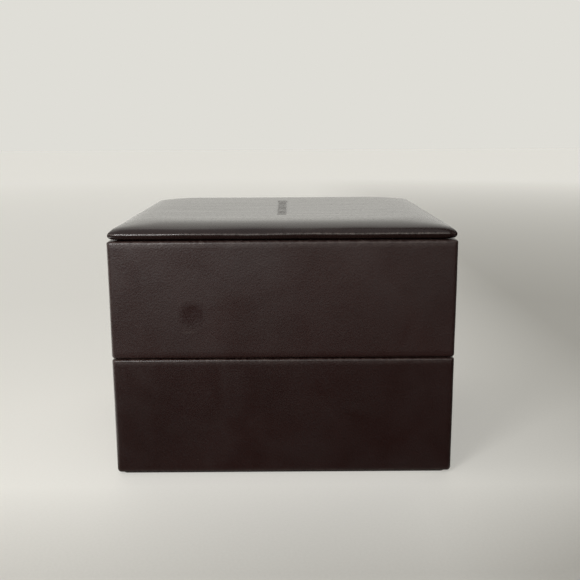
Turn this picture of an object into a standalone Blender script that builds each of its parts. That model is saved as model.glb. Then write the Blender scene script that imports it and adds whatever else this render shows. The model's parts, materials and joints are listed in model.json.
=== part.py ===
"""Single-watch winder in a hinged, leather-covered box. Metres, +Z up.

The origin is the centre of the underside. The front of the box faces -Y and the lid turns about a
hinge line behind the back wall, at +Y. The winder stands in the base: a wedge-shaped turret carries a
cup that turns about an axis leaning 35 degrees towards the front, driven through one pair of gears.
"""

import math

import bmesh
import bpy
from mathutils import Matrix, Vector

# ---------------------------------------------------------------- driving dimensions
CASE_WIDTH = 0.171  # left to right
CASE_DEPTH = 0.180  # front to back
RIM_BASE = 0.0642  # top of the base's rim
RIM_LID = 0.0647  # bottom of the lid's rim
BODY_TOP = 0.1266  # top of the lid's walls, under the padded panel
PAD_TOP = 0.1356  # crown of the padded panel

GAP = 0.0003  # clearance between pieces that touch
LEATHER = 0.0010  # thickness of the leather wrap, of the lining and of the bottom panel
WALL = 0.0065  # board of the walls
FLOOR = 0.0050  # board of the floor
LID_BOARD = 0.0055  # board of the lid's top
EDGE_RADIUS = 0.0020  # vertical edges and the outer ends of the two shells
RIM_RADIUS = 0.0008  # edges of the leather at the rims

FELT_INSET = 0.0025  # bottom panel, set in from the walls
BASE_BOTTOM = LEATHER + GAP
SKIN = LEATHER + GAP  # from a leather face to the board behind it
CORE_X = CASE_WIDTH / 2 - SKIN
CORE_Y = CASE_DEPTH / 2 - SKIN
ROOM_X = CORE_X - WALL  # inner faces of the boards
ROOM_Y = CORE_Y - WALL
INNER_X = ROOM_X - SKIN  # inner faces of the leather turned in over the rims
INNER_Y = ROOM_Y - SKIN
CORE_FLOOR = BASE_BOTTOM + SKIN + FLOOR
CEILING = BODY_TOP - SKIN - LID_BOARD
TURN_OVER = 0.012  # leather turned under the shells' closed ends

DECK_TOP = 0.0500
DECK_THICK = 0.0026
DECK_LOW = DECK_TOP - DECK_THICK
TURN_IN_BASE = DECK_TOP + GAP  # lower end of the base's turned-in leather
TURN_IN_LID = RIM_LID + 0.0140

# hinge line
BARREL_RADIUS = 0.0020
HINGE_Y = CASE_DEPTH / 2 + 0.0022
HINGE_Z = (RIM_BASE + RIM_LID) / 2
HINGE_X = 0.050  # centres of the two hinges, either side of the middle
HINGE_WIDTH = 0.030
KNUCKLE = 0.0098  # length of the lid's middle knuckle
LEAF = 0.0008
LEAF_FRONT = 0.0825
LEAF_BACK = 0.0899
PIN_RADIUS = 0.0010
HINGE_SCREW_Y = 0.0858
HINGE_SCREW_X = 0.0095

# winder: the tilted frame has its origin on the cup's axis, in the turret's sloping face
TILT = math.radians(35)
CUP_CENTRE = Vector((0, -0.022, 0.081))
TURRET_HALF_WIDTH = 0.054
TURRET_WALL = 0.003
SLOPE_HALF = 0.0490
CUP_RADIUS = 0.043
CUP_WALL = 0.0025
CUP_DEPTH = 0.040
APERTURE = 0.044
PLATE_TOP = -0.0501
PLATE_THICK = 0.0025
BOSS_X, BOSS_Y = 0.044, 0.038
BOSS_RADIUS, BOSS_BORE = 0.004, 0.0017

MODULE = 0.001
GEAR_TEETH, PINION_TEETH = 45, 15
MESH_SLACK = 0.00025  # added to the centre distance
MOTOR_Y = MODULE * (GEAR_TEETH + PINION_TEETH) / 2 + MESH_SLACK
GEAR_THICK = 0.005
GEAR_TOP = -0.0430
SHAFT_RADIUS = 0.004
SHAFT_BORE = SHAFT_RADIUS + GAP

CUSHION_X, CUSHION_Y = 0.031, 0.023  # half sizes
CUSHION_LOW, CUSHION_HIGH = -0.0356, 0.009
CUSHION_GAP = 0.0045  # from the split to each half
CUSHION_ROUND = 0.0095

STRIP_X = 0.0655  # middle of the control strip beside the turret
BUTTON_Y, SELECTOR_Y, LED_Y = -0.053, -0.030, -0.008
JACK_X, JACK_Z = 0.060, 0.024

FIT = 0.0001  # running clearance of a pin or a shaft
HAIR = 0.00001  # keeps the faces of two joined shapes from lying in one plane

WIDE_ROUND = 48  # sides of the cup and of what surrounds it
ROUND = 20  # sides of a middling round piece
SMALL_ROUND = 12
SHARP_ANGLE = math.radians(40)

# ---------------------------------------------------------------- scene and materials
for old in list(bpy.data.objects):
    bpy.data.objects.remove(old)
PARTS = bpy.data.collections.new("watch_winder_box")
TOOLS = bpy.data.collections.new("cutters")
bpy.context.scene.collection.children.link(PARTS)
bpy.context.scene.collection.children.link(TOOLS)

FINISHES = {  # name: (colour, roughness, metallic)
    "leather": ((0.038, 0.018, 0.015), 0.45, 0.0),
    "board": ((0.42, 0.30, 0.19), 0.85, 0.0),
    "suede": ((0.34, 0.25, 0.17), 0.95, 0.0),
    "foam": ((0.80, 0.76, 0.62), 1.0, 0.0),
    "felt": ((0.03, 0.02, 0.02), 1.0, 0.0),
    "steel": ((0.60, 0.60, 0.62), 0.35, 1.0),
    "brass": ((0.72, 0.52, 0.24), 0.30, 1.0),
    "chrome": ((0.82, 0.82, 0.84), 0.12, 1.0),
    "magnet": ((0.50, 0.50, 0.52), 0.30, 1.0),
    "black_plastic": ((0.02, 0.02, 0.022), 0.45, 0.0),
    "white_plastic": ((0.80, 0.80, 0.76), 0.50, 0.0),
    "circuit": ((0.03, 0.20, 0.08), 0.50, 0.0),
    "wire": ((0.03, 0.03, 0.03), 0.60, 0.0),
    "led": ((0.25, 0.75, 0.30), 0.20, 0.0),
}


def finish(name):
    """The Principled material of one of the finishes."""
    made = bpy.data.materials.get(name)
    if made is None:
        colour, roughness, metallic = FINISHES[name]
        made = bpy.data.materials.new(name)
        made.use_nodes = True
        shader = made.node_tree.nodes["Principled BSDF"]
        shader.inputs["Base Color"].default_value = (*colour, 1.0)
        shader.inputs["Roughness"].default_value = roughness
        shader.inputs["Metallic"].default_value = metallic
        made.diffuse_color = (*colour, 1.0)
    return made


# ---------------------------------------------------------------- modelling helpers
def place(name, data, look, frame=None, at=(0, 0, 0)):
    """Links an object, at a point of its frame's own axes."""
    obj = bpy.data.objects.new(name, data)
    PARTS.objects.link(obj)
    obj.parent = frame
    obj.location = at
    if look:
        data.materials.append(finish(look))
    return obj


def empty(name, at, tilt=0.0, frame=None):
    """A frame that pieces are placed in, on a joint's axis where they move."""
    obj = bpy.data.objects.new(name, None)
    PARTS.objects.link(obj)
    obj.empty_display_size = 0.01
    obj.parent = frame
    obj.location = at
    obj.rotation_euler.x = tilt
    return obj


def box(name, low, high, look=None, frame=None):
    """A box between two corners, given in world axes, or in its frame's axes if that is tilted."""
    low, high = Vector(low), Vector(high)
    bm = bmesh.new()
    bmesh.ops.create_cube(bm, size=1.0, matrix=Matrix.Diagonal((*(high - low), 1.0)))
    mesh = bpy.data.meshes.new(name)
    bm.to_mesh(mesh)
    bm.free()
    return place(name, mesh, look, frame, (low + high) / 2 - shift(frame))


def shift(frame):
    """Where an upright frame stands. Points in a tilted frame are its own already."""
    return Vector() if frame is None or in_tilt(frame) else frame.location


def in_tilt(frame):
    return frame.rotation_euler.x != 0 or (frame.parent is not None and in_tilt(frame.parent))


def rounded(obj, radius, weight_of=None, segments=2):
    """Bevels the edges. weight_of(middle, direction) of an edge gives its share of the radius."""
    bevel = obj.modifiers.new("round_edges", "BEVEL")
    bevel.width = radius
    bevel.segments = segments
    if weight_of is None:
        return obj
    bevel.limit_method = "WEIGHT"
    weights = obj.data.attributes.new("bevel_weight_edge", "FLOAT", "EDGE")
    for edge in obj.data.edges:
        a, b = (obj.data.vertices[i].co for i in edge.vertices)
        weights.data[edge.index].value = weight_of((a + b) / 2, (b - a).normalized())
    return obj


def shade_round(mesh):
    """Smooth shading, with the corners of the profile kept sharp."""
    mesh.shade_smooth()
    mesh.set_sharp_from_angle(angle=SHARP_ANGLE)


def as_mesh(obj):
    """The same shape as a mesh with welded caps, so that it can be cut or joined."""
    bpy.context.view_layer.update()
    solid = bpy.data.meshes.new_from_object(obj.evaluated_get(bpy.context.evaluated_depsgraph_get()))
    bm = bmesh.new()
    bm.from_mesh(solid)
    bmesh.ops.remove_doubles(bm, verts=bm.verts, dist=1e-6)
    bm.to_mesh(solid)
    bm.free()
    made = bpy.data.objects.new("mesh", solid)
    PARTS.objects.link(made)
    made.parent = obj.parent
    made.matrix_basis = obj.matrix_basis.copy()
    name = obj.name
    bpy.data.objects.remove(obj)
    made.name = name
    return made


def turned(name, profile, look=None, frame=None, at=(0, 0, 0), sides=ROUND, ring=False):
    """A turned piece about Z. The profile runs down the outer side; a ring's profile is a closed loop."""
    count = len(profile)
    edges = [(i, i + 1) for i in range(count - 1)]
    if ring:
        edges.append((count - 1, 0))
    mesh = bpy.data.meshes.new(name)
    mesh.from_pydata([(r, 0, z) for r, z in profile], edges, [])
    obj = place(name, mesh, look, frame, Vector(at) - shift(frame))
    screw = obj.modifiers.new("turn", "SCREW")
    screw.steps = screw.render_steps = sides
    screw.use_merge_vertices = True
    screw.merge_threshold = 1e-5
    solid = as_mesh(obj)
    shade_round(solid.data)
    return solid


def rod(name, radius, low, high, look=None, frame=None, at=(0, 0, 0), sides=SMALL_ROUND):
    """A plain cylinder along Z."""
    bm = bmesh.new()
    middle = Matrix.Translation((0, 0, (low + high) / 2))
    bmesh.ops.create_cone(
        bm, cap_ends=True, segments=sides, radius1=radius, radius2=radius, depth=high - low, matrix=middle
    )
    mesh = bpy.data.meshes.new(name)
    bm.to_mesh(mesh)
    bm.free()
    shade_round(mesh)
    return place(name, mesh, look, frame, Vector(at) - shift(frame))


def plate(name, outlines, low, high, look=None, frame=None, at=(0, 0, 0)):
    """Flat outlines in X and Y, the first the outer one and the others holes, from low to high in Z."""
    curve = bpy.data.curves.new(name, "CURVE")
    curve.dimensions = "2D"
    curve.fill_mode = "BOTH"
    curve.extrude = (high - low) / 2
    for outline in outlines:
        spline = curve.splines.new("POLY")
        spline.points.add(len(outline) - 1)
        for point, (x, y) in zip(spline.points, outline):
            point.co = (x, y, 0, 1)
        spline.use_cyclic_u = True
    middle = Vector((0, 0, (low + high) / 2))
    return place(name, curve, look, frame, Vector(at) + middle - shift(frame))


def shape(obj, tool, operation):
    """Cuts the tool from the object, or joins it on."""
    change = obj.modifiers.new(tool.name, "BOOLEAN")
    change.operation = operation
    change.object = tool
    tool.hide_render = True
    tool.display_type = "WIRE"
    if tool.name in PARTS.objects:
        PARTS.objects.unlink(tool)
        TOOLS.objects.link(tool)
    return obj


def cut(obj, tool):
    return shape(obj, tool, "DIFFERENCE")


def join(obj, tool):
    return shape(obj, tool, "UNION")


def circle(radius, sides, start=0.0):
    turns = [start + math.tau * i / sides for i in range(sides)]
    return [(radius * math.cos(a), radius * math.sin(a)) for a in turns]


def round_rectangle(half_x, half_y, radius, per_corner=4):
    """A rectangle with round corners, anticlockwise."""
    points = []
    for quarter, (sx, sy) in enumerate(((1, 1), (-1, 1), (-1, -1), (1, -1))):
        for i in range(per_corner + 1):
            a = math.pi / 2 * (quarter + i / per_corner)
            centre_x, centre_y = sx * (half_x - radius), sy * (half_y - radius)
            points.append((centre_x + radius * math.cos(a), centre_y + radius * math.sin(a)))
    return points


def smooth_route(points, per_span=3):
    """Points along a Catmull-Rom curve through the given ones."""
    route = [Vector(p) for p in points]
    ends = [2 * route[0] - route[1], *route, 2 * route[-1] - route[-2]]
    found = []
    for a, b, c, d in zip(ends, ends[1:], ends[2:], ends[3:]):
        for i in range(per_span):
            t = i / per_span
            square = (2 * a - 5 * b + 4 * c - d) * t**2
            cube = (3 * b - a - 3 * c + d) * t**3
            found.append((2 * b + (c - a) * t + square + cube) / 2)
    return [*found, route[-1]]


def lead(name, points, radius, look):
    """A round lead along a smooth route, in world axes."""
    route = smooth_route(points)
    curve = bpy.data.curves.new(name, "CURVE")
    curve.dimensions = "3D"
    curve.bevel_depth = radius
    curve.bevel_resolution = 1
    curve.use_fill_caps = True
    spline = curve.splines.new("POLY")
    spline.points.add(len(route) - 1)
    for point, co in zip(spline.points, route):
        point.co = (*co, 1)
    return place(name, curve, look)


# ---------------------------------------------------------------- frames
LID_FRAME = empty("lid_hinge_frame", (0, HINGE_Y, HINGE_Z))
WINDER_FRAME = empty("winder_frame", CUP_CENTRE, TILT)
DRUM_FRAME = empty("drum_axis_frame", (0, 0, 0), frame=WINDER_FRAME)
MOTOR_FRAME = empty("motor_axis_frame", (0, MOTOR_Y, 0), frame=WINDER_FRAME)


# ---------------------------------------------------------------- box shells
def shell_edges(rim_z):
    """Edge weights of a leather shell: full radius, except at the rim, whose side is rim_z's sign."""

    def weight(middle, direction):
        at_rim = abs(direction.z) < 0.5 and middle.z * rim_z > 0
        return RIM_RADIUS / EDGE_RADIUS if at_rim else 1.0

    return weight


def leather_shell(name, rim, end, turn_in, frame):
    """Leather round one half of the box: outside, over the rim, inside as far as turn_in, and
    TURN_OVER under the closed end."""
    up = 1 if rim > end else -1  # +1 for the base, whose rim is at its top

    def span(a, b):
        return min(a, b), max(a, b)

    def block(suffix, half_x, half_y, a, b):
        low, high = span(a, b)
        return box(f"{name}_{suffix}", (-half_x, -half_y, low), (half_x, half_y, high), frame=frame)

    beyond = 0.004 * up
    low, high = span(rim, end)
    half_x, half_y = CASE_WIDTH / 2, CASE_DEPTH / 2
    leather = box(name, (-half_x, -half_y, low), (half_x, half_y, high), "leather", frame)
    rounded(leather, EDGE_RADIUS, shell_edges(up), segments=3)
    board_room = block("board_room", CORE_X + GAP, CORE_Y + GAP, end + LEATHER * up, rim - LEATHER * up)
    cut(board_room, block("turn_in", ROOM_X - GAP, ROOM_Y - GAP, turn_in, rim + beyond))
    cut(leather, board_room)
    cut(leather, block("room", INNER_X, INNER_Y, turn_in - up * GAP, rim + beyond))
    window_x, window_y = CASE_WIDTH / 2 - TURN_OVER, CASE_DEPTH / 2 - TURN_OVER
    cut(leather, block("window", window_x, window_y, end - beyond, end + beyond))
    return leather


def board_shell(name, rim, end, inner_end, frame):
    """The board tray inside a leather shell. inner_end is its floor's or ceiling's inner face."""
    up = 1 if rim > end else -1
    a, b = end + SKIN * up, rim - SKIN * up
    low, high = min(a, b), max(a, b)
    tray = box(name, (-CORE_X, -CORE_Y, low), (CORE_X, CORE_Y, high), "board", frame)
    a, b = inner_end, rim + 0.004 * up
    room = box(name + "_room", (-ROOM_X, -ROOM_Y, min(a, b)), (ROOM_X, ROOM_Y, max(a, b)), frame=frame)
    return cut(tray, room)


base_leather = leather_shell("base_leather", RIM_BASE, BASE_BOTTOM, TURN_IN_BASE, None)
base_core = board_shell("base_core", RIM_BASE, BASE_BOTTOM, CORE_FLOOR, None)
lid_leather = leather_shell("lid_leather", RIM_LID, BODY_TOP, TURN_IN_LID, LID_FRAME)
lid_core = board_shell("lid_core", RIM_LID, BODY_TOP, CEILING, LID_FRAME)

felt_x, felt_y = CASE_WIDTH / 2 - FELT_INSET, CASE_DEPTH / 2 - FELT_INSET
plate("base_felt", [round_rectangle(felt_x, felt_y, 0.003)], 0, LEATHER, "felt")

# suede lining of the lid, and the thin padded panel on its ceiling
LINING_TOP = CEILING - GAP
lid_lining = box(
    "lid_lining",
    (-(ROOM_X - GAP), -(ROOM_Y - GAP), TURN_IN_LID + GAP),
    (ROOM_X - GAP, ROOM_Y - GAP, LINING_TOP),
    "suede",
    LID_FRAME,
)
cut(
    lid_lining,
    box(
        "lid_lining_room",
        (-INNER_X, -INNER_Y, TURN_IN_LID - 0.004),
        (INNER_X, INNER_Y, LINING_TOP - LEATHER),
        frame=LID_FRAME,
    ),
)
CEILING_PAD = 0.0031
CEILING_PAD_TOP = LINING_TOP - LEATHER - GAP
rounded(
    box(
        "lid_ceiling_pad",
        (-0.071, -0.075, CEILING_PAD_TOP - CEILING_PAD),
        (0.071, 0.075, CEILING_PAD_TOP),
        "suede",
        LID_FRAME,
    ),
    0.0012,
)

# closing magnets, sunk in the middle of the front walls
MAGNET_Y = -(CORE_Y - WALL / 2)
MAGNET_HALF = (0.010, 0.0020, 0.003)
for name, rim, up, frame, core in (
    ("base_magnet", RIM_BASE, 1, None, base_core),
    ("lid_magnet", RIM_LID, -1, LID_FRAME, lid_core),
):
    face = rim - (SKIN + GAP) * up
    middle = Vector((0, MAGNET_Y, face - MAGNET_HALF[2] * up))
    half = Vector(MAGNET_HALF)
    box(name, middle - half, middle + half, "magnet", frame)
    around = half + Vector((GAP, GAP, 0))
    ends = sorted((face - (2 * MAGNET_HALF[2] + GAP) * up, rim + 0.001 * up))
    pocket_low = (-around.x, MAGNET_Y - around.y, ends[0])
    pocket_high = (around.x, MAGNET_Y + around.y, ends[1])
    pocket = box(name + "_pocket", pocket_low, pocket_high, frame=frame)
    cut(core, pocket)


# ---------------------------------------------------------------- padded top panel
def crowned_slab(name, half_x, half_y, low, edge, top, shoulder, look=None, steps=3):
    """A flat-bottomed slab whose top rises from its edge over a quarter-round shoulder."""

    def stations(half):
        inward = [shoulder * (1 - math.cos(math.pi / 2 * i / steps)) for i in range(steps + 1)]
        return [-half + d for d in inward] + [half - d for d in reversed(inward)]

    def rise(distance):
        return math.sqrt(max(0.0, 1 - (1 - min(distance / shoulder, 1.0)) ** 2))

    xs, ys = stations(half_x), stations(half_y)
    bm = bmesh.new()
    bmesh.ops.create_grid(bm, x_segments=len(xs) - 1, y_segments=len(ys) - 1, size=1.0)
    order = sorted(bm.verts, key=lambda v: (round(v.co.y, 4), round(v.co.x, 4)))
    for i, vert in enumerate(order):
        x, y = xs[i % len(xs)], ys[i // len(xs)]
        lift = rise(half_x - abs(x)) * rise(half_y - abs(y))
        vert.co = (x, y, edge + (top - edge) * lift)
    skirt = bmesh.ops.extrude_face_region(bm, geom=bm.faces[:])
    for vert in (v for v in skirt["geom"] if isinstance(v, bmesh.types.BMVert)):
        vert.co.z = low
    bmesh.ops.recalc_face_normals(bm, faces=bm.faces[:])
    mesh = bpy.data.meshes.new(name)
    bm.to_mesh(mesh)
    bm.free()
    mesh.transform(Matrix.Translation(-LID_FRAME.location))
    return place(name, mesh, look, LID_FRAME)


PAD_LOW = BODY_TOP + GAP
PAD_INSET = 0.0005
PAD_X, PAD_Y = CASE_WIDTH / 2 - PAD_INSET, CASE_DEPTH / 2 - PAD_INSET
PAD_EDGE = 0.0036  # height of the panel's upright edge
PAD_BOARD = 0.0019
SHOULDER = 0.014
pad_board_low = PAD_LOW + SKIN
pad_board_top = pad_board_low + PAD_BOARD
pad_leather = crowned_slab(
    "pad_leather", PAD_X, PAD_Y, PAD_LOW, PAD_LOW + PAD_EDGE, PAD_TOP, SHOULDER, "leather"
)
pad_room = crowned_slab(
    "pad_room",
    PAD_X - LEATHER,
    PAD_Y - LEATHER,
    PAD_LOW + LEATHER,
    PAD_LOW + PAD_EDGE - LEATHER / 2,
    PAD_TOP - LEATHER,
    SHOULDER,
)
cut(pad_leather, pad_room)
window_x, window_y = PAD_X - TURN_OVER, PAD_Y - TURN_OVER
pad_window = box(
    "pad_window",
    (-window_x, -window_y, PAD_LOW - 0.002),
    (window_x, window_y, pad_board_low),
    frame=LID_FRAME,
)
cut(pad_leather, pad_window)
box(
    "pad_board",
    (-(PAD_X - SKIN), -(PAD_Y - SKIN), pad_board_low),
    (PAD_X - SKIN, PAD_Y - SKIN, pad_board_top - 2 * GAP),
    "board",
    LID_FRAME,
)
FOAM_INSET = 0.002
crowned_slab(
    "pad_foam",
    PAD_X - SKIN - FOAM_INSET,
    PAD_Y - SKIN - FOAM_INSET,
    pad_board_top - GAP,
    pad_board_top + 0.0001,
    PAD_TOP - SKIN,
    SHOULDER,
    "foam",
)


# ---------------------------------------------------------------- hinges
def countersunk_screw(name, x, y, top, down, frame, look="brass"):
    """A small countersunk screw whose head's flat is at top; down is -1 if it points down."""
    profile = [(0, 0), (0.0017, 0), (0.0009, -0.0008), (0.0009, -0.0085), (0.0005, -0.0095), (0, -0.0095)]
    screw = turned(name, profile, look, frame, (x, y, top), sides=8)
    if down > 0:
        screw.rotation_euler.x = math.pi
    return screw


def hinge_leaf(name, centre_x, low, knuckles, frame):
    """A leaf lying in the rim, with its knuckles and two countersunk holes."""
    high = low + LEAF
    half = HINGE_WIDTH / 2
    leaf_low = (centre_x - half, LEAF_FRONT, low)
    leaf = box(name, leaf_low, (centre_x + half, LEAF_BACK, high), "brass", frame)
    for i, (a, b) in enumerate(knuckles):
        tongue_low = Vector((centre_x + a, LEAF_BACK - 0.001, low + HAIR))
        tongue_high = Vector((centre_x + b, HINGE_Y, high - HAIR))
        join(leaf, box(f"{name}_tongue_{i}", tongue_low, tongue_high, frame=frame))
        axis_point = (centre_x, HINGE_Y, HINGE_Z)
        barrel = rod(f"{name}_barrel_{i}", BARREL_RADIUS, a, b, frame=frame, at=axis_point)
        barrel.rotation_euler.y = math.pi / 2
        join(leaf, barrel)
    bore_length = HINGE_WIDTH / 2 + 0.003
    bore = rod(
        name + "_bore",
        PIN_RADIUS + FIT,
        -bore_length,
        bore_length,
        frame=frame,
        at=(centre_x, HINGE_Y, HINGE_Z),
    )
    bore.rotation_euler.y = math.pi / 2
    cut(leaf, bore)
    return leaf


def screw_seat(name, leaf, core, x, face, into, frame):
    """The countersink through a leaf and the pilot hole in the board behind it."""
    reach = 0.0002
    slope = [(0, reach), (0.0023, reach), (0.0012, -0.0010), (0.0012, -0.0030), (0, -0.0030)]
    sink = turned(name + "_sink", slope, frame=frame, at=(x, HINGE_SCREW_Y, face), sides=12)
    leaf_back = (x, HINGE_SCREW_Y, face - LEAF * into)
    pilot = rod(name + "_pilot", 0.0013, -0.0110, 0.0005, frame=frame, at=leaf_back, sides=8)
    if into < 0:
        sink.rotation_euler.x = math.pi
        pilot.rotation_euler.x = math.pi
    cut(leaf, sink)
    cut(core, pilot)


half_knuckle = KNUCKLE / 2
side_knuckle = half_knuckle + GAP
outer = HINGE_WIDTH / 2
for side, centre_x in (("left", -HINGE_X), ("right", HINGE_X)):
    base_leaf_low = HINGE_Z - GAP / 2 - LEAF
    lid_leaf_low = HINGE_Z + GAP / 2
    base_knuckles = [(-outer, -side_knuckle), (side_knuckle, outer)]
    base_leaf = hinge_leaf(f"hinge_base_leaf_{side}", centre_x, base_leaf_low, base_knuckles, None)
    lid_leaf = hinge_leaf(
        f"hinge_lid_leaf_{side}", centre_x, lid_leaf_low, [(-half_knuckle, half_knuckle)], LID_FRAME
    )
    pin = rod(f"hinge_pin_{side}", PIN_RADIUS, -outer, outer, "brass", None, (centre_x, HINGE_Y, HINGE_Z))
    pin.rotation_euler.y = math.pi / 2
    for leather, up, frame in ((base_leather, 1, None), (lid_leather, -1, LID_FRAME)):
        mortise_end = HINGE_Z - up * (GAP / 2 + LEAF + GAP)
        ends = sorted((mortise_end, HINGE_Z + up * 0.002))
        mortise = box(
            f"{leather.name}_mortise_{side}",
            (centre_x - outer - GAP, LEAF_FRONT - GAP, ends[0]),
            (centre_x + outer + GAP, CASE_DEPTH / 2 + 0.002, ends[1]),
            frame=frame,
        )
        cut(leather, mortise)
    for i, offset in enumerate((-HINGE_SCREW_X, HINGE_SCREW_X), 1):
        x = centre_x + offset
        for leaf, core, face, into, frame, kind in (
            (base_leaf, base_core, base_leaf_low + LEAF, 1, None, "base"),
            (lid_leaf, lid_core, lid_leaf_low, -1, LID_FRAME, "lid"),
        ):
            name = f"hinge_{kind}_screw_{side}_{i}"
            screw_seat(name, leaf, core, x, face, into, frame)
            countersunk_screw(name, x, HINGE_SCREW_Y, face - 0.0001 * into, -into, frame)

# ---------------------------------------------------------------- deck of the base
deck_x, deck_y = ROOM_X - GAP, ROOM_Y - GAP
deck = box("deck_panel", (-deck_x, -deck_y, DECK_LOW), (deck_x, deck_y, DECK_TOP), "suede")
TURRET_FOOT_FRONT = -0.0625
TURRET_FOOT_BACK = 0.0580
opening_x = TURRET_HALF_WIDTH - TURRET_WALL - 0.0005
cut(
    deck,
    box(
        "deck_opening",
        (-opening_x, TURRET_FOOT_FRONT + TURRET_WALL, DECK_LOW - 0.002),
        (opening_x, TURRET_FOOT_BACK - TURRET_WALL - 0.0005, DECK_TOP + 0.002),
    ),
)
for y, radius in ((BUTTON_Y, 0.0062), (SELECTOR_Y, 0.0038), (LED_Y, 0.0027)):
    hole_name = f"deck_hole_{radius}"
    cut(deck, rod(hole_name, radius, DECK_LOW - 0.002, DECK_TOP + 0.002, at=(STRIP_X, y, 0)))

FRAME_RAIL = 0.004
frame_top = DECK_LOW - GAP
deck_frame = box("deck_frame", (-deck_x, -deck_y, frame_top - 0.006), (deck_x, deck_y, frame_top), "board")
frame_hole = (deck_x - FRAME_RAIL, deck_y - FRAME_RAIL)
cut(
    deck_frame,
    box(
        "deck_frame_hole",
        (-frame_hole[0], -frame_hole[1], frame_top - 0.010),
        (*frame_hole, frame_top + 0.002),
    ),
)

# ---------------------------------------------------------------- turret
SLOPE_Y, SLOPE_Z = math.cos(TILT), math.sin(TILT)
TURRET_FOOT = DECK_TOP + GAP
slope_low = (CUP_CENTRE.y - SLOPE_HALF * SLOPE_Y, CUP_CENTRE.z - SLOPE_HALF * SLOPE_Z)
slope_high = (CUP_CENTRE.y + SLOPE_HALF * SLOPE_Y, CUP_CENTRE.z + SLOPE_HALF * SLOPE_Z)
TURRET_SIDE = [  # outline seen from the side, as (y, z), anticlockwise from the front foot
    (slope_low[0], TURRET_FOOT),
    (TURRET_FOOT_BACK, TURRET_FOOT),
    (TURRET_FOOT_BACK - 0.001, 0.0620),
    (slope_high[0] + 0.011, slope_high[1]),
    slope_high,
    slope_low,
]


def inset(outline, distance):
    """The outline moved inwards by the same distance everywhere. It runs anticlockwise."""
    moved = []
    count = len(outline)
    for i, point in enumerate(outline):
        before, here, after = (Vector(outline[(i + k) % count]) for k in (-1, 0, 1))
        a, b = (here - before).normalized(), (after - here).normalized()
        normal_a, normal_b = Vector((-a.y, a.x)), Vector((-b.y, b.x))
        moved.append(here + (normal_a + normal_b) * distance / (1 + normal_a.dot(normal_b)))
    return [tuple(p) for p in moved]


def side_block(name, outline, half_width, look=None):
    """A block with the given (y, z) outline, centred across X, each of its faces in one piece."""
    block = plate(name, [outline], -half_width, half_width, look)
    block.rotation_euler = (math.pi / 2, 0, math.pi / 2)
    block.location = (0, 0, 0)
    solid = as_mesh(block)
    bm = bmesh.new()
    bm.from_mesh(solid.data)
    bmesh.ops.dissolve_limit(bm, angle_limit=math.radians(1), verts=bm.verts, edges=bm.edges)
    bm.to_mesh(solid.data)
    bm.free()
    return solid


turret = side_block("turret_shell", TURRET_SIDE, TURRET_HALF_WIDTH, "suede")
rounded(turret, 0.0025, lambda middle, direction: 0.0 if middle.y < TURRET_FOOT + 0.0005 else 1.0)
hollow = inset(TURRET_SIDE, TURRET_WALL)
hollow = [(y, z - 0.008) if z < TURRET_FOOT + 0.006 and y > 0 else (y, z) for y, z in hollow]
hollow[0] = (hollow[0][0], hollow[1][1])
hollow[-1] = (hollow[0][0], hollow[-1][1])
cut(turret, side_block("turret_hollow", hollow, TURRET_HALF_WIDTH - TURRET_WALL))
CORNERS = [  # where the chassis plate hangs, in the winder's frame: (name, x, y)
    (f"{side}_{end}", x, y)
    for side, x in (("left", -BOSS_X), ("right", BOSS_X))
    for end, y in (("front", -BOSS_Y), ("back", BOSS_Y))
]
for corner, x, y in CORNERS:
    middle = (x, y, 0)
    join(turret, rod("boss_" + corner, BOSS_RADIUS, PLATE_TOP + GAP, -0.0015, None, WINDER_FRAME, middle))
    bore = rod("bore_" + corner, BOSS_BORE, PLATE_TOP - 0.002, -0.036, None, WINDER_FRAME, middle, 8)
    cut(turret, bore)
cut(turret, rod("turret_aperture", APERTURE, -0.006, 0.004, frame=WINDER_FRAME, sides=WIDE_ROUND))

BEZEL_BORE = APERTURE + 0.0002
bezel = [
    (0.0476, 0.0026),
    (0.0488, GAP),
    (BEZEL_BORE, GAP),
    (BEZEL_BORE, 0.0018),
    (0.0452, 0.0026),
]
turned("bezel_ring", bezel, "chrome", WINDER_FRAME, sides=WIDE_ROUND, ring=True)

# chassis plate, hung from the turret's four bosses
PLATE_X = 0.0490
plate_outline = round_rectangle(PLATE_X, 0.0425, 0.006)
plate_holes = [circle(0.0068, SMALL_ROUND)]
MOTOR_SCREW_X = 0.009
motor_holes = [(0, MOTOR_Y, 0.0045), (-MOTOR_SCREW_X, MOTOR_Y, 0.0018), (MOTOR_SCREW_X, MOTOR_Y, 0.0018)]
screw_holes = [(x, y, 0.0018) for _, x, y in CORNERS]
for x, y, radius in motor_holes + screw_holes:
    plate_holes.append([(x + a, y + b) for a, b in circle(radius, 12)])
PLATE_LOW = PLATE_TOP - PLATE_THICK
plate("chassis_plate", [plate_outline, *plate_holes], PLATE_LOW, PLATE_TOP, "steel", WINDER_FRAME)


def pan_screw(name, x, y, face, length, down, frame, radius=0.0014, head=0.0026):
    """A pan-head screw whose head sits on face and whose shank points along down."""
    tall = 0.0013
    dome = [(0, tall), (head * 0.7, tall), (head, tall * 0.45), (head, 0)]
    shank = [(radius, 0), (radius, -length), (0, -length)]
    screw = turned(name, dome + shank, "steel", frame, (x, y, face), sides=8)
    if down > 0:
        screw.rotation_euler.x = math.pi
    return screw


for corner, x, y in CORNERS:
    pan_screw("chassis_screw_" + corner, x, y, PLATE_LOW - GAP, 0.012, 1, WINDER_FRAME)

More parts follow.
